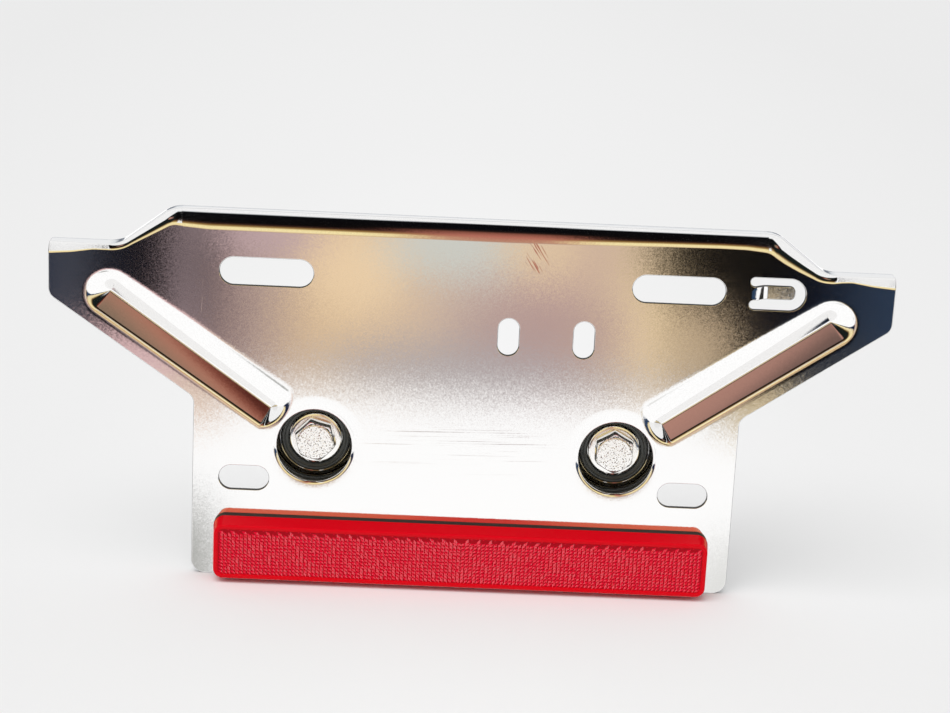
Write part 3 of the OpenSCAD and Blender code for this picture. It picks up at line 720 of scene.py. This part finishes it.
def groove_lattice():
    """Points on the right groove's own lines, in rings round its bottom line."""
    points = []
    for along in np.linspace(0, GROOVE_LEN, 50):
        scale, spread = groove_scales(along)
        for side, marks in ((scale, lower_side[2]), (-spread, upper_side[2])):
            for off in marks:
                points.append(GROOVE_OUT + along * GROOVE_DIR + side * off * GROOVE_ACROSS)
        points.append(GROOVE_OUT + along * GROOVE_DIR)
    for centre, end, way in ((GROOVE_OUT, -4.0, -1), (GROOVE_IN, GROOVE_LEN, 1 / INNER_SQUASH)):
        scale, spread = groove_scales(end)
        for low, high in zip(scale * lower_side[2], spread * upper_side[2]):
            for a in np.linspace(0, pi, 27)[1:-1]:
                off = low + (high - low) * (0.5 + 0.5 * cos(a))
                points.append(centre + off * (way * sin(a) * GROOVE_DIR - cos(a) * GROOVE_ACROSS))
    return np.array(points)


def loop_edges(loop, start):
    count = len(loop)
    return [(start + i, start + (i + 1) % count) for i in range(count)]


lattice = groove_lattice()
lattice = np.vstack([lattice, lattice * flip])
RIM_RINGS = (13.9, 14.4, 15.2, 16.3, RIM_START_R)
rim_rings = [circle_loop(way * CUP_X, 0, r, CUP_SIDES) for way in (-1, 1) for r in RIM_RINGS]
tongue_x, tongue_z = np.meshgrid(np.arange(1.0, TONGUE_LEN - 0.6, 0.4), [-1.2, 0, 1.2])
tongue_grid = np.column_stack([tongue_x.ravel() + TONGUE_X, tongue_z.ravel() + TONGUE_Z])
detail = np.vstack([lattice, *rim_rings, tongue_grid])
GRID_STEP = 2.5
grid_x, grid_z = np.meshgrid(np.arange(-137, 138, GRID_STEP), np.arange(-46, 78, GRID_STEP))
grid = np.column_stack([grid_x.ravel(), grid_z.ravel()])
off_groove, upper, scale, spread = groove_place(grid[:, 0], grid[:, 1])
groove_edge = scale * lower_side[0][-1] * (1 - upper) + spread * upper_side[0][-1] * upper
off_cup = np.hypot(abs(grid[:, 0]) - CUP_X, grid[:, 1])
grid = grid[(off_groove > groove_edge + 0.8) & (off_cup > RIM_START_R + 0.7)]
extra = np.vstack([detail, grid])

fixed = [outer_loop] + hole_loops
keep = in_loop(extra, outer_loop)
for loop in hole_loops:
    keep &= ~in_loop(extra, loop)
all_edge_points = np.vstack(fixed)
EDGE_GAP = 0.28
BATCH = 500
near = np.zeros(len(extra), bool)
for start in range(0, len(extra), BATCH):
    part = extra[start:start + BATCH]
    gap_x = part[:, None, 0] - all_edge_points[None, :, 0]
    gap_z = part[:, None, 1] - all_edge_points[None, :, 1]
    near[start:start + BATCH] = np.hypot(gap_x, gap_z).min(axis=1) < EDGE_GAP
extra = extra[keep & ~near]

flat_points = [tuple(p) for p in all_edge_points] + [tuple(p) for p in extra]
edges = []
start = 0
for loop in fixed:
    edges += loop_edges(loop, start)
    start += len(loop)
result = delaunay_2d_cdt([Vector(p) for p in flat_points], edges, [], 0, 1e-5)
sheet_points = np.array([tuple(v) for v in result[0]])
triangles = np.array([f for f in result[2] if len(f) == 3])
centroids = sheet_points[triangles].mean(axis=1)
inside = in_loop(centroids, outer_loop)
for loop in hole_loops:
    inside &= ~in_loop(centroids, loop)
triangles = triangles[inside]
a, b, c = (sheet_points[triangles[:, i]] for i in range(3))
area = (b[:, 0] - a[:, 0]) * (c[:, 1] - a[:, 1]) - (b[:, 1] - a[:, 1]) * (c[:, 0] - a[:, 0])
triangles[area < 0] = triangles[area < 0][:, ::-1]
sheet_x, sheet_z = sheet_points[:, 0], sheet_points[:, 1]
parts = [(
    np.column_stack([sheet_x, FACE_Y + relief(sheet_x, sheet_z), sheet_z]),
    relief_normals(sheet_x, sheet_z),
    triangles,
)]


def grid_triangles(rows, columns, closed):
    """Triangles of a grid of points, row by row; a closed grid joins its last column to its first."""
    faces = []
    for i in range(rows - 1):
        for j in range(columns - (0 if closed else 1)):
            k = (j + 1) % columns
            corner = (i * columns + j, i * columns + k, (i + 1) * columns + k, (i + 1) * columns + j)
            faces.append((corner[0], corner[1], corner[2]))
            faces.append((corner[0], corner[2], corner[3]))
    return np.array(faces)


# Bracket: flange
# The top edge is bent back all along the crown, the slopes and the ears. The
# bend is a little flatter than round, and the flange's rear edge dips slightly.
BEND_FLATNESS = 0.9
LIP_START = 6.6
LIP_DROP = 0.035
rows = []
row_normals = []
bend_depth = BEND_FLATNESS * bend_r


def add_flange_row(reach, back, out, lean):
    """One row along the flange: its places, and normals that face out and lean back."""
    rows.append(np.column_stack([reach[:, 0], FACE_Y + back, reach[:, 1]]))
    leans = np.full(len(contour), lean)
    facing = np.column_stack([contour_out[:, 0] * out, leans, contour_out[:, 1] * out])
    row_normals.append(facing / np.linalg.norm(facing, axis=1)[:, None])


for a in np.linspace(0, pi / 2, 15):
    reach = bend_line + contour_out * (bend_r * sin(a))[:, None]
    add_flange_row(reach, bend_depth * (1 - cos(a)), BEND_FLATNESS * sin(a), -cos(a))
add_flange_row(contour, bend_depth + (LIP_START - bend_depth) / 2, 1, 0)
lip_middle = (LIP_START + FLANGE_DEPTH) / 2
lip_end = FLANGE_DEPTH - EDGE_R
for back, drop, lean in ((LIP_START, 0, 0), (lip_middle, LIP_DROP / 4, 0.03), (lip_end, LIP_DROP, 0.06)):
    add_flange_row(contour - contour_out * drop, np.full(len(contour), back), 1, lean)
parts.append((np.vstack(rows), np.vstack(row_normals), grid_triangles(len(rows), len(contour), False)))

# Bracket: cups
# Two deep cups drawn round the frame bolts, revolved here from their joint with
# the sheet: rounded rim, wall, a ledge round the grommet, fillet and floor, down
# to the hole that the grommet sits in.
CUP_RIM = (
    (13.4, 0.07), (13.15, 0.15), (12.92, 0.25), (12.74, 0.36), (12.62, 0.52),
    (12.54, 0.85), (12.48, 1.6), (12.45, 3.2), (12.43, 6.0),
)
CUP_WALL = [(12.4, 4.0), (12.36, 8.7), (12.32, 9.2), (12.2, 9.6), (12.0, 9.85)]
CUP_LEDGE = [(11.85, 9.92), (11.65, 9.95), (11.55, 10.1), (11.5, 10.3), (11.5, 12.7)]
CUP_FILLET = 1.2
CUP_FLOOR = 14.0
FLOOR_START_R = 10.3
GROMMET_HOLE_R = 8.0
RIM_END_R = 12.5
profile = [(CUP_JOINT_R, RIM_DISH)]
rim_start = 2 * RIM_DISH / (RIM_START_R - CUP_JOINT_R)
for out, slope in CUP_RIM:
    last_out, last_back = profile[-1]
    last_slope = slope if len(profile) > 1 else rim_start
    profile.append((out, last_back + (last_out - out) * (slope + last_slope) / 2))
profile += CUP_WALL + CUP_LEDGE
for a in np.linspace(0, pi / 2, 6)[1:]:
    fillet_back = CUP_FLOOR - CUP_FILLET + CUP_FILLET * sin(a)
    profile.append((FLOOR_START_R + CUP_FILLET * cos(a), fillet_back))
profile += [(9.2, CUP_FLOOR), (GROMMET_HOLE_R + EDGE_R, CUP_FLOOR)]
profile = np.array(profile)
tangents = np.gradient(profile, axis=0)
across = np.column_stack([-tangents[:, 1], tangents[:, 0]])
across /= np.linalg.norm(across, axis=1)[:, None]
turns = np.linspace(0, 2 * pi, CUP_SIDES, endpoint=False)
for way in (-1, 1):
    rows = []
    row_normals = []
    for (radius, depth), (out, back) in zip(profile, across):
        x = way * CUP_X + radius * np.cos(turns)
        z = radius * np.sin(turns)
        # Where a groove's end runs into the rim, its depth fades out down the rim.
        blend = np.clip((radius - RIM_END_R) / (CUP_JOINT_R - RIM_END_R), 0, 1) ** 2
        lift = groove_depth(x, z) * blend
        rows.append(np.column_stack([x, FACE_Y + depth + lift, z]))
        backs = np.full(len(turns), back)
        row_normals.append(np.column_stack([out * np.cos(turns), backs, out * np.sin(turns)]))
    row_normals[0] = relief_normals(rows[0][:, 0], rows[0][:, 2])
    faces = grid_triangles(len(rows), CUP_SIDES, True)
    parts.append((np.vstack(rows), np.vstack(row_normals), faces))


# Bracket: the whole pressing
# Panel, flange and cups are joined into one skin, which then gets the sheet's
# thickness, its rounded edges and a dull band of painted shade where the edge was
# sheared.
def welded(parts):
    """One mesh of several, with points at the same place joined."""
    points = np.vstack([p for p, _, _ in parts])
    normals = np.vstack([n for _, n, _ in parts])
    start = 0
    faces = []
    for p, _, f in parts:
        faces.append(f + start)
        start += len(p)
    faces = np.vstack(faces)
    _, first, same = np.unique(np.round(points, 3), axis=0, return_index=True, return_inverse=True)
    same = same.reshape(-1)
    joined = np.zeros((len(first), 3))
    np.add.at(joined, same, normals)
    joined /= np.linalg.norm(joined, axis=1)[:, None]
    faces = same[faces]
    whole = (faces[:, 0] != faces[:, 1]) & (faces[:, 1] != faces[:, 2]) & (faces[:, 2] != faces[:, 0])
    return points[first], joined, faces[whole]


def turned_out(points, normals, faces):
    """Faces wound so that each looks along its points' normals."""
    a, b, c = (points[faces[:, i]] for i in range(3))
    facing = np.einsum("ij,ij->i", np.cross(b - a, c - a), normals[faces].sum(axis=1))
    faces = faces.copy()
    faces[facing < 0] = faces[facing < 0][:, ::-1]
    return faces


def thick_sheet(points, normals, faces, thickness, edge_r):
    """Gives a front skin its back and rolled edges all round."""
    count = len(points)
    sides = np.vstack([faces[:, [0, 1]], faces[:, [1, 2]], faces[:, [2, 0]]])
    both = {(a, b) for a, b in sides.tolist()}
    rim = np.array([s for s in sides.tolist() if (s[1], s[0]) not in both])
    along = points[rim[:, 1]] - points[rim[:, 0]]
    along /= np.linalg.norm(along, axis=1)[:, None]
    outs = np.cross(along, normals[rim[:, 0]] + normals[rim[:, 1]])
    outs /= np.linalg.norm(outs, axis=1)[:, None]
    total = np.zeros((count, 3))
    np.add.at(total, rim[:, 0], outs)
    np.add.at(total, rim[:, 1], outs)
    used = np.unique(rim)
    out = total[used]
    out -= normals[used] * np.einsum("ij,ij->i", out, normals[used])[:, None]
    half = np.linalg.norm(out, axis=1) / 2
    out /= (2 * half)[:, None]
    place = {v: i for i, v in enumerate(used.tolist())}
    rim_at = np.array([[place[a], place[b]] for a, b in rim.tolist()])
    n = normals[used]
    p = points[used]
    reach = edge_r / np.clip(half, 0.5, 1)[:, None]
    all_points = [points, points - normals * thickness]
    all_normals = [normals, -normals]
    all_faces = [faces, faces[:, ::-1] + count]
    rings = []
    for a in np.radians([30, 60, 90]):
        rings.append((p + out * reach * sin(a) - n * edge_r * (1 - cos(a)), out * sin(a) + n * cos(a)))
    for a in np.radians([90, 60, 30]):
        back = thickness - edge_r * (1 - cos(a))
        rings.append((p + out * reach * sin(a) - n * back, out * sin(a) - n * cos(a)))
    start = 2 * count
    rows = [used]
    for ring_points, ring_normals in rings:
        all_points.append(ring_points)
        all_normals.append(ring_normals)
        rows.append(np.arange(len(used)) + start)
        start += len(used)
    rows.append(used + count)
    # Past the first rolled ring the edge takes the second material, painted shade.
    kinds = [np.zeros(2 * len(faces), int)]
    for i, (upper, lower) in enumerate(zip(rows, rows[1:])):
        a, b = upper[rim_at[:, 1]], upper[rim_at[:, 0]]
        c, d = lower[rim_at[:, 0]], lower[rim_at[:, 1]]
        all_faces.append(np.column_stack([a, b, c]))
        all_faces.append(np.column_stack([a, c, d]))
        kinds.append(np.full(2 * len(a), 0 if i == 0 else 1))
    return np.vstack(all_points), np.vstack(all_normals), np.vstack(all_faces), np.concatenate(kinds)


def new_piece(name, points, normals, faces, materials, kinds=None):
    mesh = bpy.data.meshes.new(name)
    mesh.from_pydata((np.asarray(points) * MM).tolist(), [], np.asarray(faces).tolist())
    for material in materials:
        mesh.materials.append(material)
    if kinds is not None:
        mesh.polygons.foreach_set("material_index", kinds)
    mesh.polygons.foreach_set("use_smooth", [True] * len(mesh.polygons))
    if normals is not None:
        mesh.normals_split_custom_set_from_vertices(np.asarray(normals).tolist())
    mesh.update()
    piece = bpy.data.objects.new(name, mesh)
    scene.collection.objects.link(piece)
    return piece


points, normals, faces = welded(parts)
faces = turned_out(points, normals, faces)
points, normals, faces, kinds = thick_sheet(points, normals, faces, SHEET_T, EDGE_R)
sheet = new_piece("pressed_sheet", points, normals, faces, [chrome, edge_painted_shade], kinds)
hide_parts("bracket")
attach(sheet, "root")


# Frame bolts
# Two bright-plated M8 flange bolts, forged with a slightly drafted hexagon and a
# pitted face, and rolled with a thread behind the collar. Each is built in rings
# from the head's face to the shank's tip, with depths behind the sheet's face.
BOLT_SIDES = 72
HEX_AF = 12.0
HEX_CORNER_R = 6.8
HEAD_FACE = 4.3
FACE_R = 5.72
CHAMFER_R = 5.76
CHAMFER_FALL = 0.62
CHAMFER_TOP = 4.32
CHAMFER_FOOT = 4.42
HEX_FOOT = 8.45
HEX_ROOT = 8.58
HEX_DRAFT = 0.3
HEX_FLARE = 0.38
THREAD_R = 4.0
THREAD_PITCH = 1.25
THREAD_FALL = 0.61
THREAD_START = 19.5
THREAD_END = 31.3
THREAD_RUNOUT = 31.5
BOLT_TIP = 32.0
TIP_R = 3.2
BOLT_FLANGE = (
    (7.3, 8.6), (7.4, 8.6), (8.2, 8.61), (8.4, 8.66), (8.55, 8.8), (8.6, 9.0), (8.6, 11.9), (8.5, 12.0),
)
BOLT_SHANK = ((3.6, 12.0), (3.6, 19.0), (THREAD_R - THREAD_FALL, 19.3))

steel, tree, shader = new_material("bolt_steel")
shader.inputs["Base Color"].default_value = (0.90, 0.89, 0.87, 1)
shader.inputs["Metallic"].default_value = 1
shader.inputs["Roughness"].default_value = 0.1
place = add_node(tree, "ShaderNodeTexCoord").outputs["Object"]
normal = add_node(tree, "ShaderNodeNewGeometry").outputs["Normal"]
pits = add_node(tree, "ShaderNodeTexNoise", Scale=1900.0, Detail=1.0)
tree.links.new(place, pits.inputs["Vector"])
on_face = add_node(tree, "ShaderNodeSeparateXYZ")
tree.links.new(place, on_face.inputs[0])
pit_share = between(tree, pits.outputs["Fac"], 0.55, 0.62)
only_face = between(tree, on_face.outputs["Y"], -13.8 * MM, -14.3 * MM)
pit_share = maths(tree, "MULTIPLY", pit_share, only_face)
pit_way = vector(tree, "SUBTRACT", pits.outputs["Color"], (0.5, 0.5, 0.5)).outputs[0]
pit_tilt = vector(tree, "SCALE", pit_way, None)
tree.links.new(maths(tree, "MULTIPLY", pit_share, 6.0), pit_tilt.inputs["Scale"])
rough = vector(tree, "ADD", normal, grain(tree, place, 2600.0, 0.05)).outputs[0]
rough = vector(tree, "ADD", rough, pit_tilt.outputs[0]).outputs[0]
tree.links.new(vector(tree, "NORMALIZE", rough, None).outputs[0], shader.inputs["Normal"])


def hexagon_r(turns):
    """The hexagon's reach along each direction, its corners slightly rounded."""
    from_flat = (turns + pi / 6) % (pi / 3) - pi / 6
    return np.minimum(HEX_AF / 2 / np.cos(from_flat), HEX_CORNER_R)


def closed_stack(rings, centre_front, centre_back):
    """Points and triangles of rings with equal counts, closed by a point at each end."""
    count = len(rings[0])
    points = np.vstack([centre_front, *rings, centre_back])
    faces = []
    for j in range(count):
        k = (j + 1) % count
        faces.append((0, 1 + j, 1 + k))
        last = 1 + (len(rings) - 1) * count
        faces.append((len(points) - 1, last + k, last + j))
    return points, np.vstack([np.array(faces), grid_triangles(len(rings), count, True)[:, ::-1] + 1])


def head_steps(hexagon):
    """Reach and depth of each ring of the head, from its face to the hexagon's root."""
    chamfer = (hexagon - CHAMFER_R) * CHAMFER_FALL
    steps = [(np.full(BOLT_SIDES, r), HEAD_FACE) for r in (3.0, 5.3, FACE_R)]
    steps.append((np.minimum(hexagon, 5.8), CHAMFER_TOP))
    steps.append((hexagon - 0.06, CHAMFER_TOP + chamfer))
    steps.append((hexagon, CHAMFER_FOOT + chamfer))
    steps.append((hexagon + HEX_DRAFT, np.full(BOLT_SIDES, HEX_FOOT)))
    steps.append((hexagon + HEX_FLARE, np.full(BOLT_SIDES, HEX_ROOT)))
    return steps


def thread_steps(around):
    """Reach and depth of each ring of the thread, whose ridge winds once round in a pitch."""
    steps = []
    for d in np.arange(THREAD_START, THREAD_END, THREAD_PITCH / 8):
        share = (d / THREAD_PITCH + around / (2 * pi)) % 1
        flank_r = np.interp(share, [0, 0.12, 0.5, 0.62, 1], [0, 0, 1, 1, 0])
        steps.append((THREAD_R - THREAD_FALL * (1 - flank_r), d))
    steps.append((np.full(BOLT_SIDES, THREAD_R - THREAD_FALL), THREAD_RUNOUT))
    steps.append((np.full(BOLT_SIDES, TIP_R), BOLT_TIP))
    return steps


for name, side, turn in (("left_bolt", -1, 15), ("right_bolt", 1, 0)):
    turns = np.linspace(0, 2 * pi, BOLT_SIDES, endpoint=False) + radians(turn)
    steps = head_steps(hexagon_r(turns - radians(turn)))
    for r, d in BOLT_FLANGE + BOLT_SHANK:
        steps.append((np.full(BOLT_SIDES, r), d))
    steps += thread_steps(turns - turns[0])
    rings = []
    for r, d in steps:
        x = side * CUP_X + r * np.cos(turns)
        rings.append(np.column_stack([x, FACE_Y + np.broadcast_to(d, r.shape), r * np.sin(turns)]))
    ends = [[[side * CUP_X, FACE_Y + d, 0]] for d in (HEAD_FACE, BOLT_TIP)]
    points, faces = closed_stack(rings, *ends)
    piece = new_piece(name + "_steel", points, None, faces, [steel])
    piece.data.set_sharp_from_angle(angle=radians(28))
    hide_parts(name)
    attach(piece, "root")

# Grommets
# Two grommets moulded of black rubber, revolved here: a tall front lip with fine
# moulded rings, a waist that sits in the cup floor's hole, and a rear lip.
rubber, tree, shader = new_material("black_rubber")
shader.inputs["Base Color"].default_value = (0.055, 0.060, 0.057, 1)
shader.inputs["Roughness"].default_value = 0.26
place = add_node(tree, "ShaderNodeTexCoord").outputs["Object"]
normal = add_node(tree, "ShaderNodeNewGeometry").outputs["Normal"]
rough = vector(tree, "ADD", normal, grain(tree, place, 1400.0, 0.12)).outputs[0]
tree.links.new(vector(tree, "NORMALIZE", rough, None).outputs[0], shader.inputs["Normal"])
LIP_SIDES = 96
GROMMET = [
    (6.1, 13.2), (9.5, 13.2), (9.45, 12.4), (9.1, 11.8), (8.85, 11.2), (8.8, 10.2), (8.9, 9.6), (9.1, 9.25),
    (9.4, 9.0), (9.75, 8.85), (10.0, 8.85), (10.15, 9.05), (10.3, 9.05), (10.5, 8.7), (10.85, 8.55),
    (11.15, 8.75), (11.3, 9.2), (11.34, 9.9), (11.3, 12.7), (10.1, 14.0), (7.9, 14.0), (7.9, 15.6),
    (10.3, 15.6), (10.5, 15.8), (10.5, 17.6), (9.5, 18.6), (6.4, 18.6), (6.1, 18.4),
]
turns = np.linspace(0, 2 * pi, LIP_SIDES, endpoint=False)
for name, side in (("left_grommet", -1), ("right_grommet", 1)):
    rings = []
    for r, d in GROMMET:
        depths = np.full(LIP_SIDES, FACE_Y + d)
        rings.append(np.column_stack([side * CUP_X + r * np.cos(turns), depths, r * np.sin(turns)]))
    faces = grid_triangles(len(GROMMET) + 1, LIP_SIDES, True)[:, ::-1] % (len(GROMMET) * LIP_SIDES)
    piece = new_piece(name + "_rubber", np.vstack(rings), None, faces, [rubber])
    piece.data.set_sharp_from_angle(angle=radians(50))
    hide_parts(name)
    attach(piece, "root")

# Reflector lens
# One moulding of clear red plastic: a drafted shell with a raised rim, whose
# sunk face carries rows of small prisms. They lean to the left on one half and
# to the right on the other, under a row of longer strokes and one of dots.
LENS_W = 165.4
LENS_H = 20.4
LENS_Z = -35.2
LENS_CORNER = 4.0
red, tree, shader = new_material("red_lens")
shader.inputs["Base Color"].default_value = (0.70, 0.002, 0.010, 1)
shader.inputs["Roughness"].default_value = 0.2
shader.inputs["Specular IOR Level"].default_value = 0.08
# The sunk face between the prisms is a darker copy of the lens's red: painted shade.
field_painted_shade, tree, shader = new_material("red_field_painted_shade")
shader.inputs["Base Color"].default_value = (0.42, 0.001, 0.009, 1)
shader.inputs["Roughness"].default_value = 0.3
shader.inputs["Specular IOR Level"].default_value = 0.08
# Prisms, strokes and dots take a lighter copy of the lens's red: painted light.
prism_red_painted_light, tree, shader = new_material("red_prisms_painted_light")
shader.inputs["Base Color"].default_value = (0.82, 0.006, 0.035, 1)
shader.inputs["Roughness"].default_value = 0.08
shader.inputs["Specular IOR Level"].default_value = 0.9


def rounded_loop(inset, forward):
    """The lens's outline at one height in front of the sheet, set in by its draft."""
    corner = max(LENS_CORNER - inset, 0.4)
    reach = (LENS_W / 2 - inset - corner, LENS_H / 2 - inset - corner)
    loop = []
    for i, (sx, sz) in enumerate(((1, 1), (-1, 1), (-1, -1), (1, -1))):
        for a in np.linspace(0, pi / 2, 9):
            turn = a + i * pi / 2
            x = sx * reach[0] + corner * cos(turn)
            z = LENS_Z + sz * reach[1] + corner * sin(turn)
            loop.append((x, FACE_Y - forward, z))
    return np.array(loop)


LENS_BACK = 1.5
FIELD_FRONT = 8.5
LENS_RIM_R = 0.6
LENS_DRAFT = 0.84
skin = [(0.3, LENS_BACK), (0.0, 1.6), (0.04, 2.0), (LENS_DRAFT, 8.2)]
for a in np.radians([20, 40, 60, 80]):
    skin.append((LENS_DRAFT + LENS_RIM_R * (1 - cos(a)), 8.3 + LENS_RIM_R * sin(a)))
skin += [(1.5, 8.9), (1.95, 8.9), (2.15, 8.82), (2.3, 8.55), (2.45, FIELD_FRONT)]
rings = [rounded_loop(inset, forward) for inset, forward in skin]
ends = [[[0, FACE_Y - forward, LENS_Z]] for forward in (FIELD_FRONT, LENS_BACK)]
points, faces = closed_stack(rings[::-1], *ends)
kinds = np.zeros(len(faces), int)
kinds[:2 * len(rings[0]):2] = 1
piece = new_piece("lens_shell", points, None, faces[:, ::-1], [red, field_painted_shade], kinds)
piece.data.set_sharp_from_angle(angle=radians(40))
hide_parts("reflector_lens")
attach(piece, "root")


LEAN_SPREAD = 0.4


def prism_tree(name):
    """Node tree of small pyramids on a grid of points, all leaning the same way, and its inputs."""
    group = bpy.data.node_groups.new(name, "GeometryNodeTree")
    group.interface.new_socket("Geometry", in_out="OUTPUT", socket_type="NodeSocketGeometry")
    inputs = []
    for label in ("Columns", "Rows", "Width", "Height", "Lean", "Base", "Depth"):
        kind = "NodeSocketInt" if label in ("Columns", "Rows") else "NodeSocketFloat"
        inputs.append(group.interface.new_socket(label, in_out="INPUT", socket_type=kind).identifier)
    source = group.nodes.new("NodeGroupInput")
    sink = group.nodes.new("NodeGroupOutput")
    spots = group.nodes.new("GeometryNodeMeshGrid")
    cone = group.nodes.new("GeometryNodeMeshCone")
    cone.inputs["Vertices"].default_value = 4
    cone.inputs["Radius Top"].default_value = 0
    cone.fill_type = "NONE"
    put = group.nodes.new("GeometryNodeInstanceOnPoints")
    put.inputs["Scale"].default_value = (1.35, 0.62, 1)
    lean = group.nodes.new("ShaderNodeCombineXYZ")
    real = group.nodes.new("GeometryNodeRealizeInstances")
    paint = group.nodes.new("GeometryNodeSetMaterial")
    paint.inputs["Material"].default_value = prism_red_painted_light
    link = group.links.new
    link(source.outputs["Columns"], spots.inputs["Vertices X"])
    link(source.outputs["Rows"], spots.inputs["Vertices Y"])
    link(source.outputs["Width"], spots.inputs["Size X"])
    link(source.outputs["Height"], spots.inputs["Size Y"])
    link(source.outputs["Base"], cone.inputs["Radius Bottom"])
    link(source.outputs["Depth"], cone.inputs["Depth"])
    # Each prism's lean also strays a little at random, as moulded ones catch the light.
    jitter = group.nodes.new("FunctionNodeRandomValue")
    jitter.inputs[2].default_value = -LEAN_SPREAD
    jitter.inputs[3].default_value = LEAN_SPREAD
    jitter.inputs["Seed"].default_value = 0
    leaning = group.nodes.new("ShaderNodeMath")
    link(source.outputs["Lean"], leaning.inputs[0])
    link(jitter.outputs[1], leaning.inputs[1])
    link(leaning.outputs[0], lean.inputs["Z"])
    link(spots.outputs["Mesh"], put.inputs["Points"])
    link(cone.outputs["Mesh"], put.inputs["Instance"])
    link(lean.outputs[0], put.inputs["Rotation"])
    link(put.outputs["Instances"], real.inputs["Geometry"])
    link(real.outputs["Geometry"], paint.inputs["Geometry"])
    link(paint.outputs["Geometry"], sink.inputs[0])
    return group, inputs


def prism_rows(name, columns, rows, size, centre, turn, shape):
    """The prisms on one half of the lens, turned to face forwards and put in their place."""
    carrier_mesh = bpy.data.meshes.new(name + "_carrier")
    carrier = bpy.data.objects.new(name + "_carrier", carrier_mesh)
    scene.collection.objects.link(carrier)
    modifier = carrier.modifiers.new("rows", "NODES")
    modifier.node_group, inputs = prism_tree(name)
    for identifier, value in zip(inputs, (columns, rows, *size, turn, *shape)):
        modifier[identifier] = value
    drawn = carrier.evaluated_get(bpy.context.evaluated_depsgraph_get())
    flat = bpy.data.meshes.new_from_object(drawn)
    carrier.modifiers.remove(modifier)
    bpy.data.objects.remove(carrier)
    flat.name = name
    raw = np.zeros(len(flat.vertices) * 3)
    flat.vertices.foreach_get("co", raw)
    raw = raw.reshape(-1, 3)
    placed = np.column_stack([raw[:, 0] + centre[0], centre[1] - raw[:, 2], raw[:, 1] + centre[2]])
    flat.vertices.foreach_set("co", placed.ravel())
    flat.update()
    piece = bpy.data.objects.new(name, flat)
    scene.collection.objects.link(piece)
    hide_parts("reflector_lens")
    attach(piece, "root")


SIDES = (("left", -1), ("right", 1))
FIELD = (78.6 * MM, 12.9 * MM)
PRISM = (0.78 * MM, 0.34 * MM)
ROW = (77.4 * MM, 0)
STROKE = (0.9 * MM, 0.38 * MM)
DOT = (0.3 * MM, 0.2 * MM)
field_y = (FACE_Y - FIELD_FRONT) * MM
field_z = (LENS_Z - 0.65) * MM
for side, way in SIDES:
    prism_rows(side + "_prisms", 60, 12, FIELD, (way * 40.0 * MM, field_y, field_z), way * radians(48), PRISM)
stroke_z = (LENS_Z + 6.7) * MM
for side, way in SIDES:
    prism_rows(side + "_strokes", 21, 1, ROW, (way * 40.6 * MM, field_y, stroke_z), way * radians(50), STROKE)
dot_z = (LENS_Z + 7.6) * MM
for side, way in SIDES:
    prism_rows(side + "_dots", 21, 1, ROW, (way * 42.2 * MM, field_y, dot_z), 0, DOT)

# Collars, backing and studs
# The turned steel collars in the grommets, the dark plate that closes the lens,
# and the reflector's two zinc-plated studs with their washers and nuts are the
# frame's own solids, and only get their finish here.
dark, tree, shader = new_material("dark_backing")
shader.inputs["Base Color"].default_value = (0.02, 0.018, 0.02, 1)
finishes = {"reflector_backing": dark}
for side, _ in SIDES:
    for part in ("collar", "stud", "stud_washer", "stud_nut"):
        finishes[side + "_" + part] = steel
for name, material in finishes.items():
    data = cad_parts[name].data
    data.materials.clear()
    data.materials.append(material)
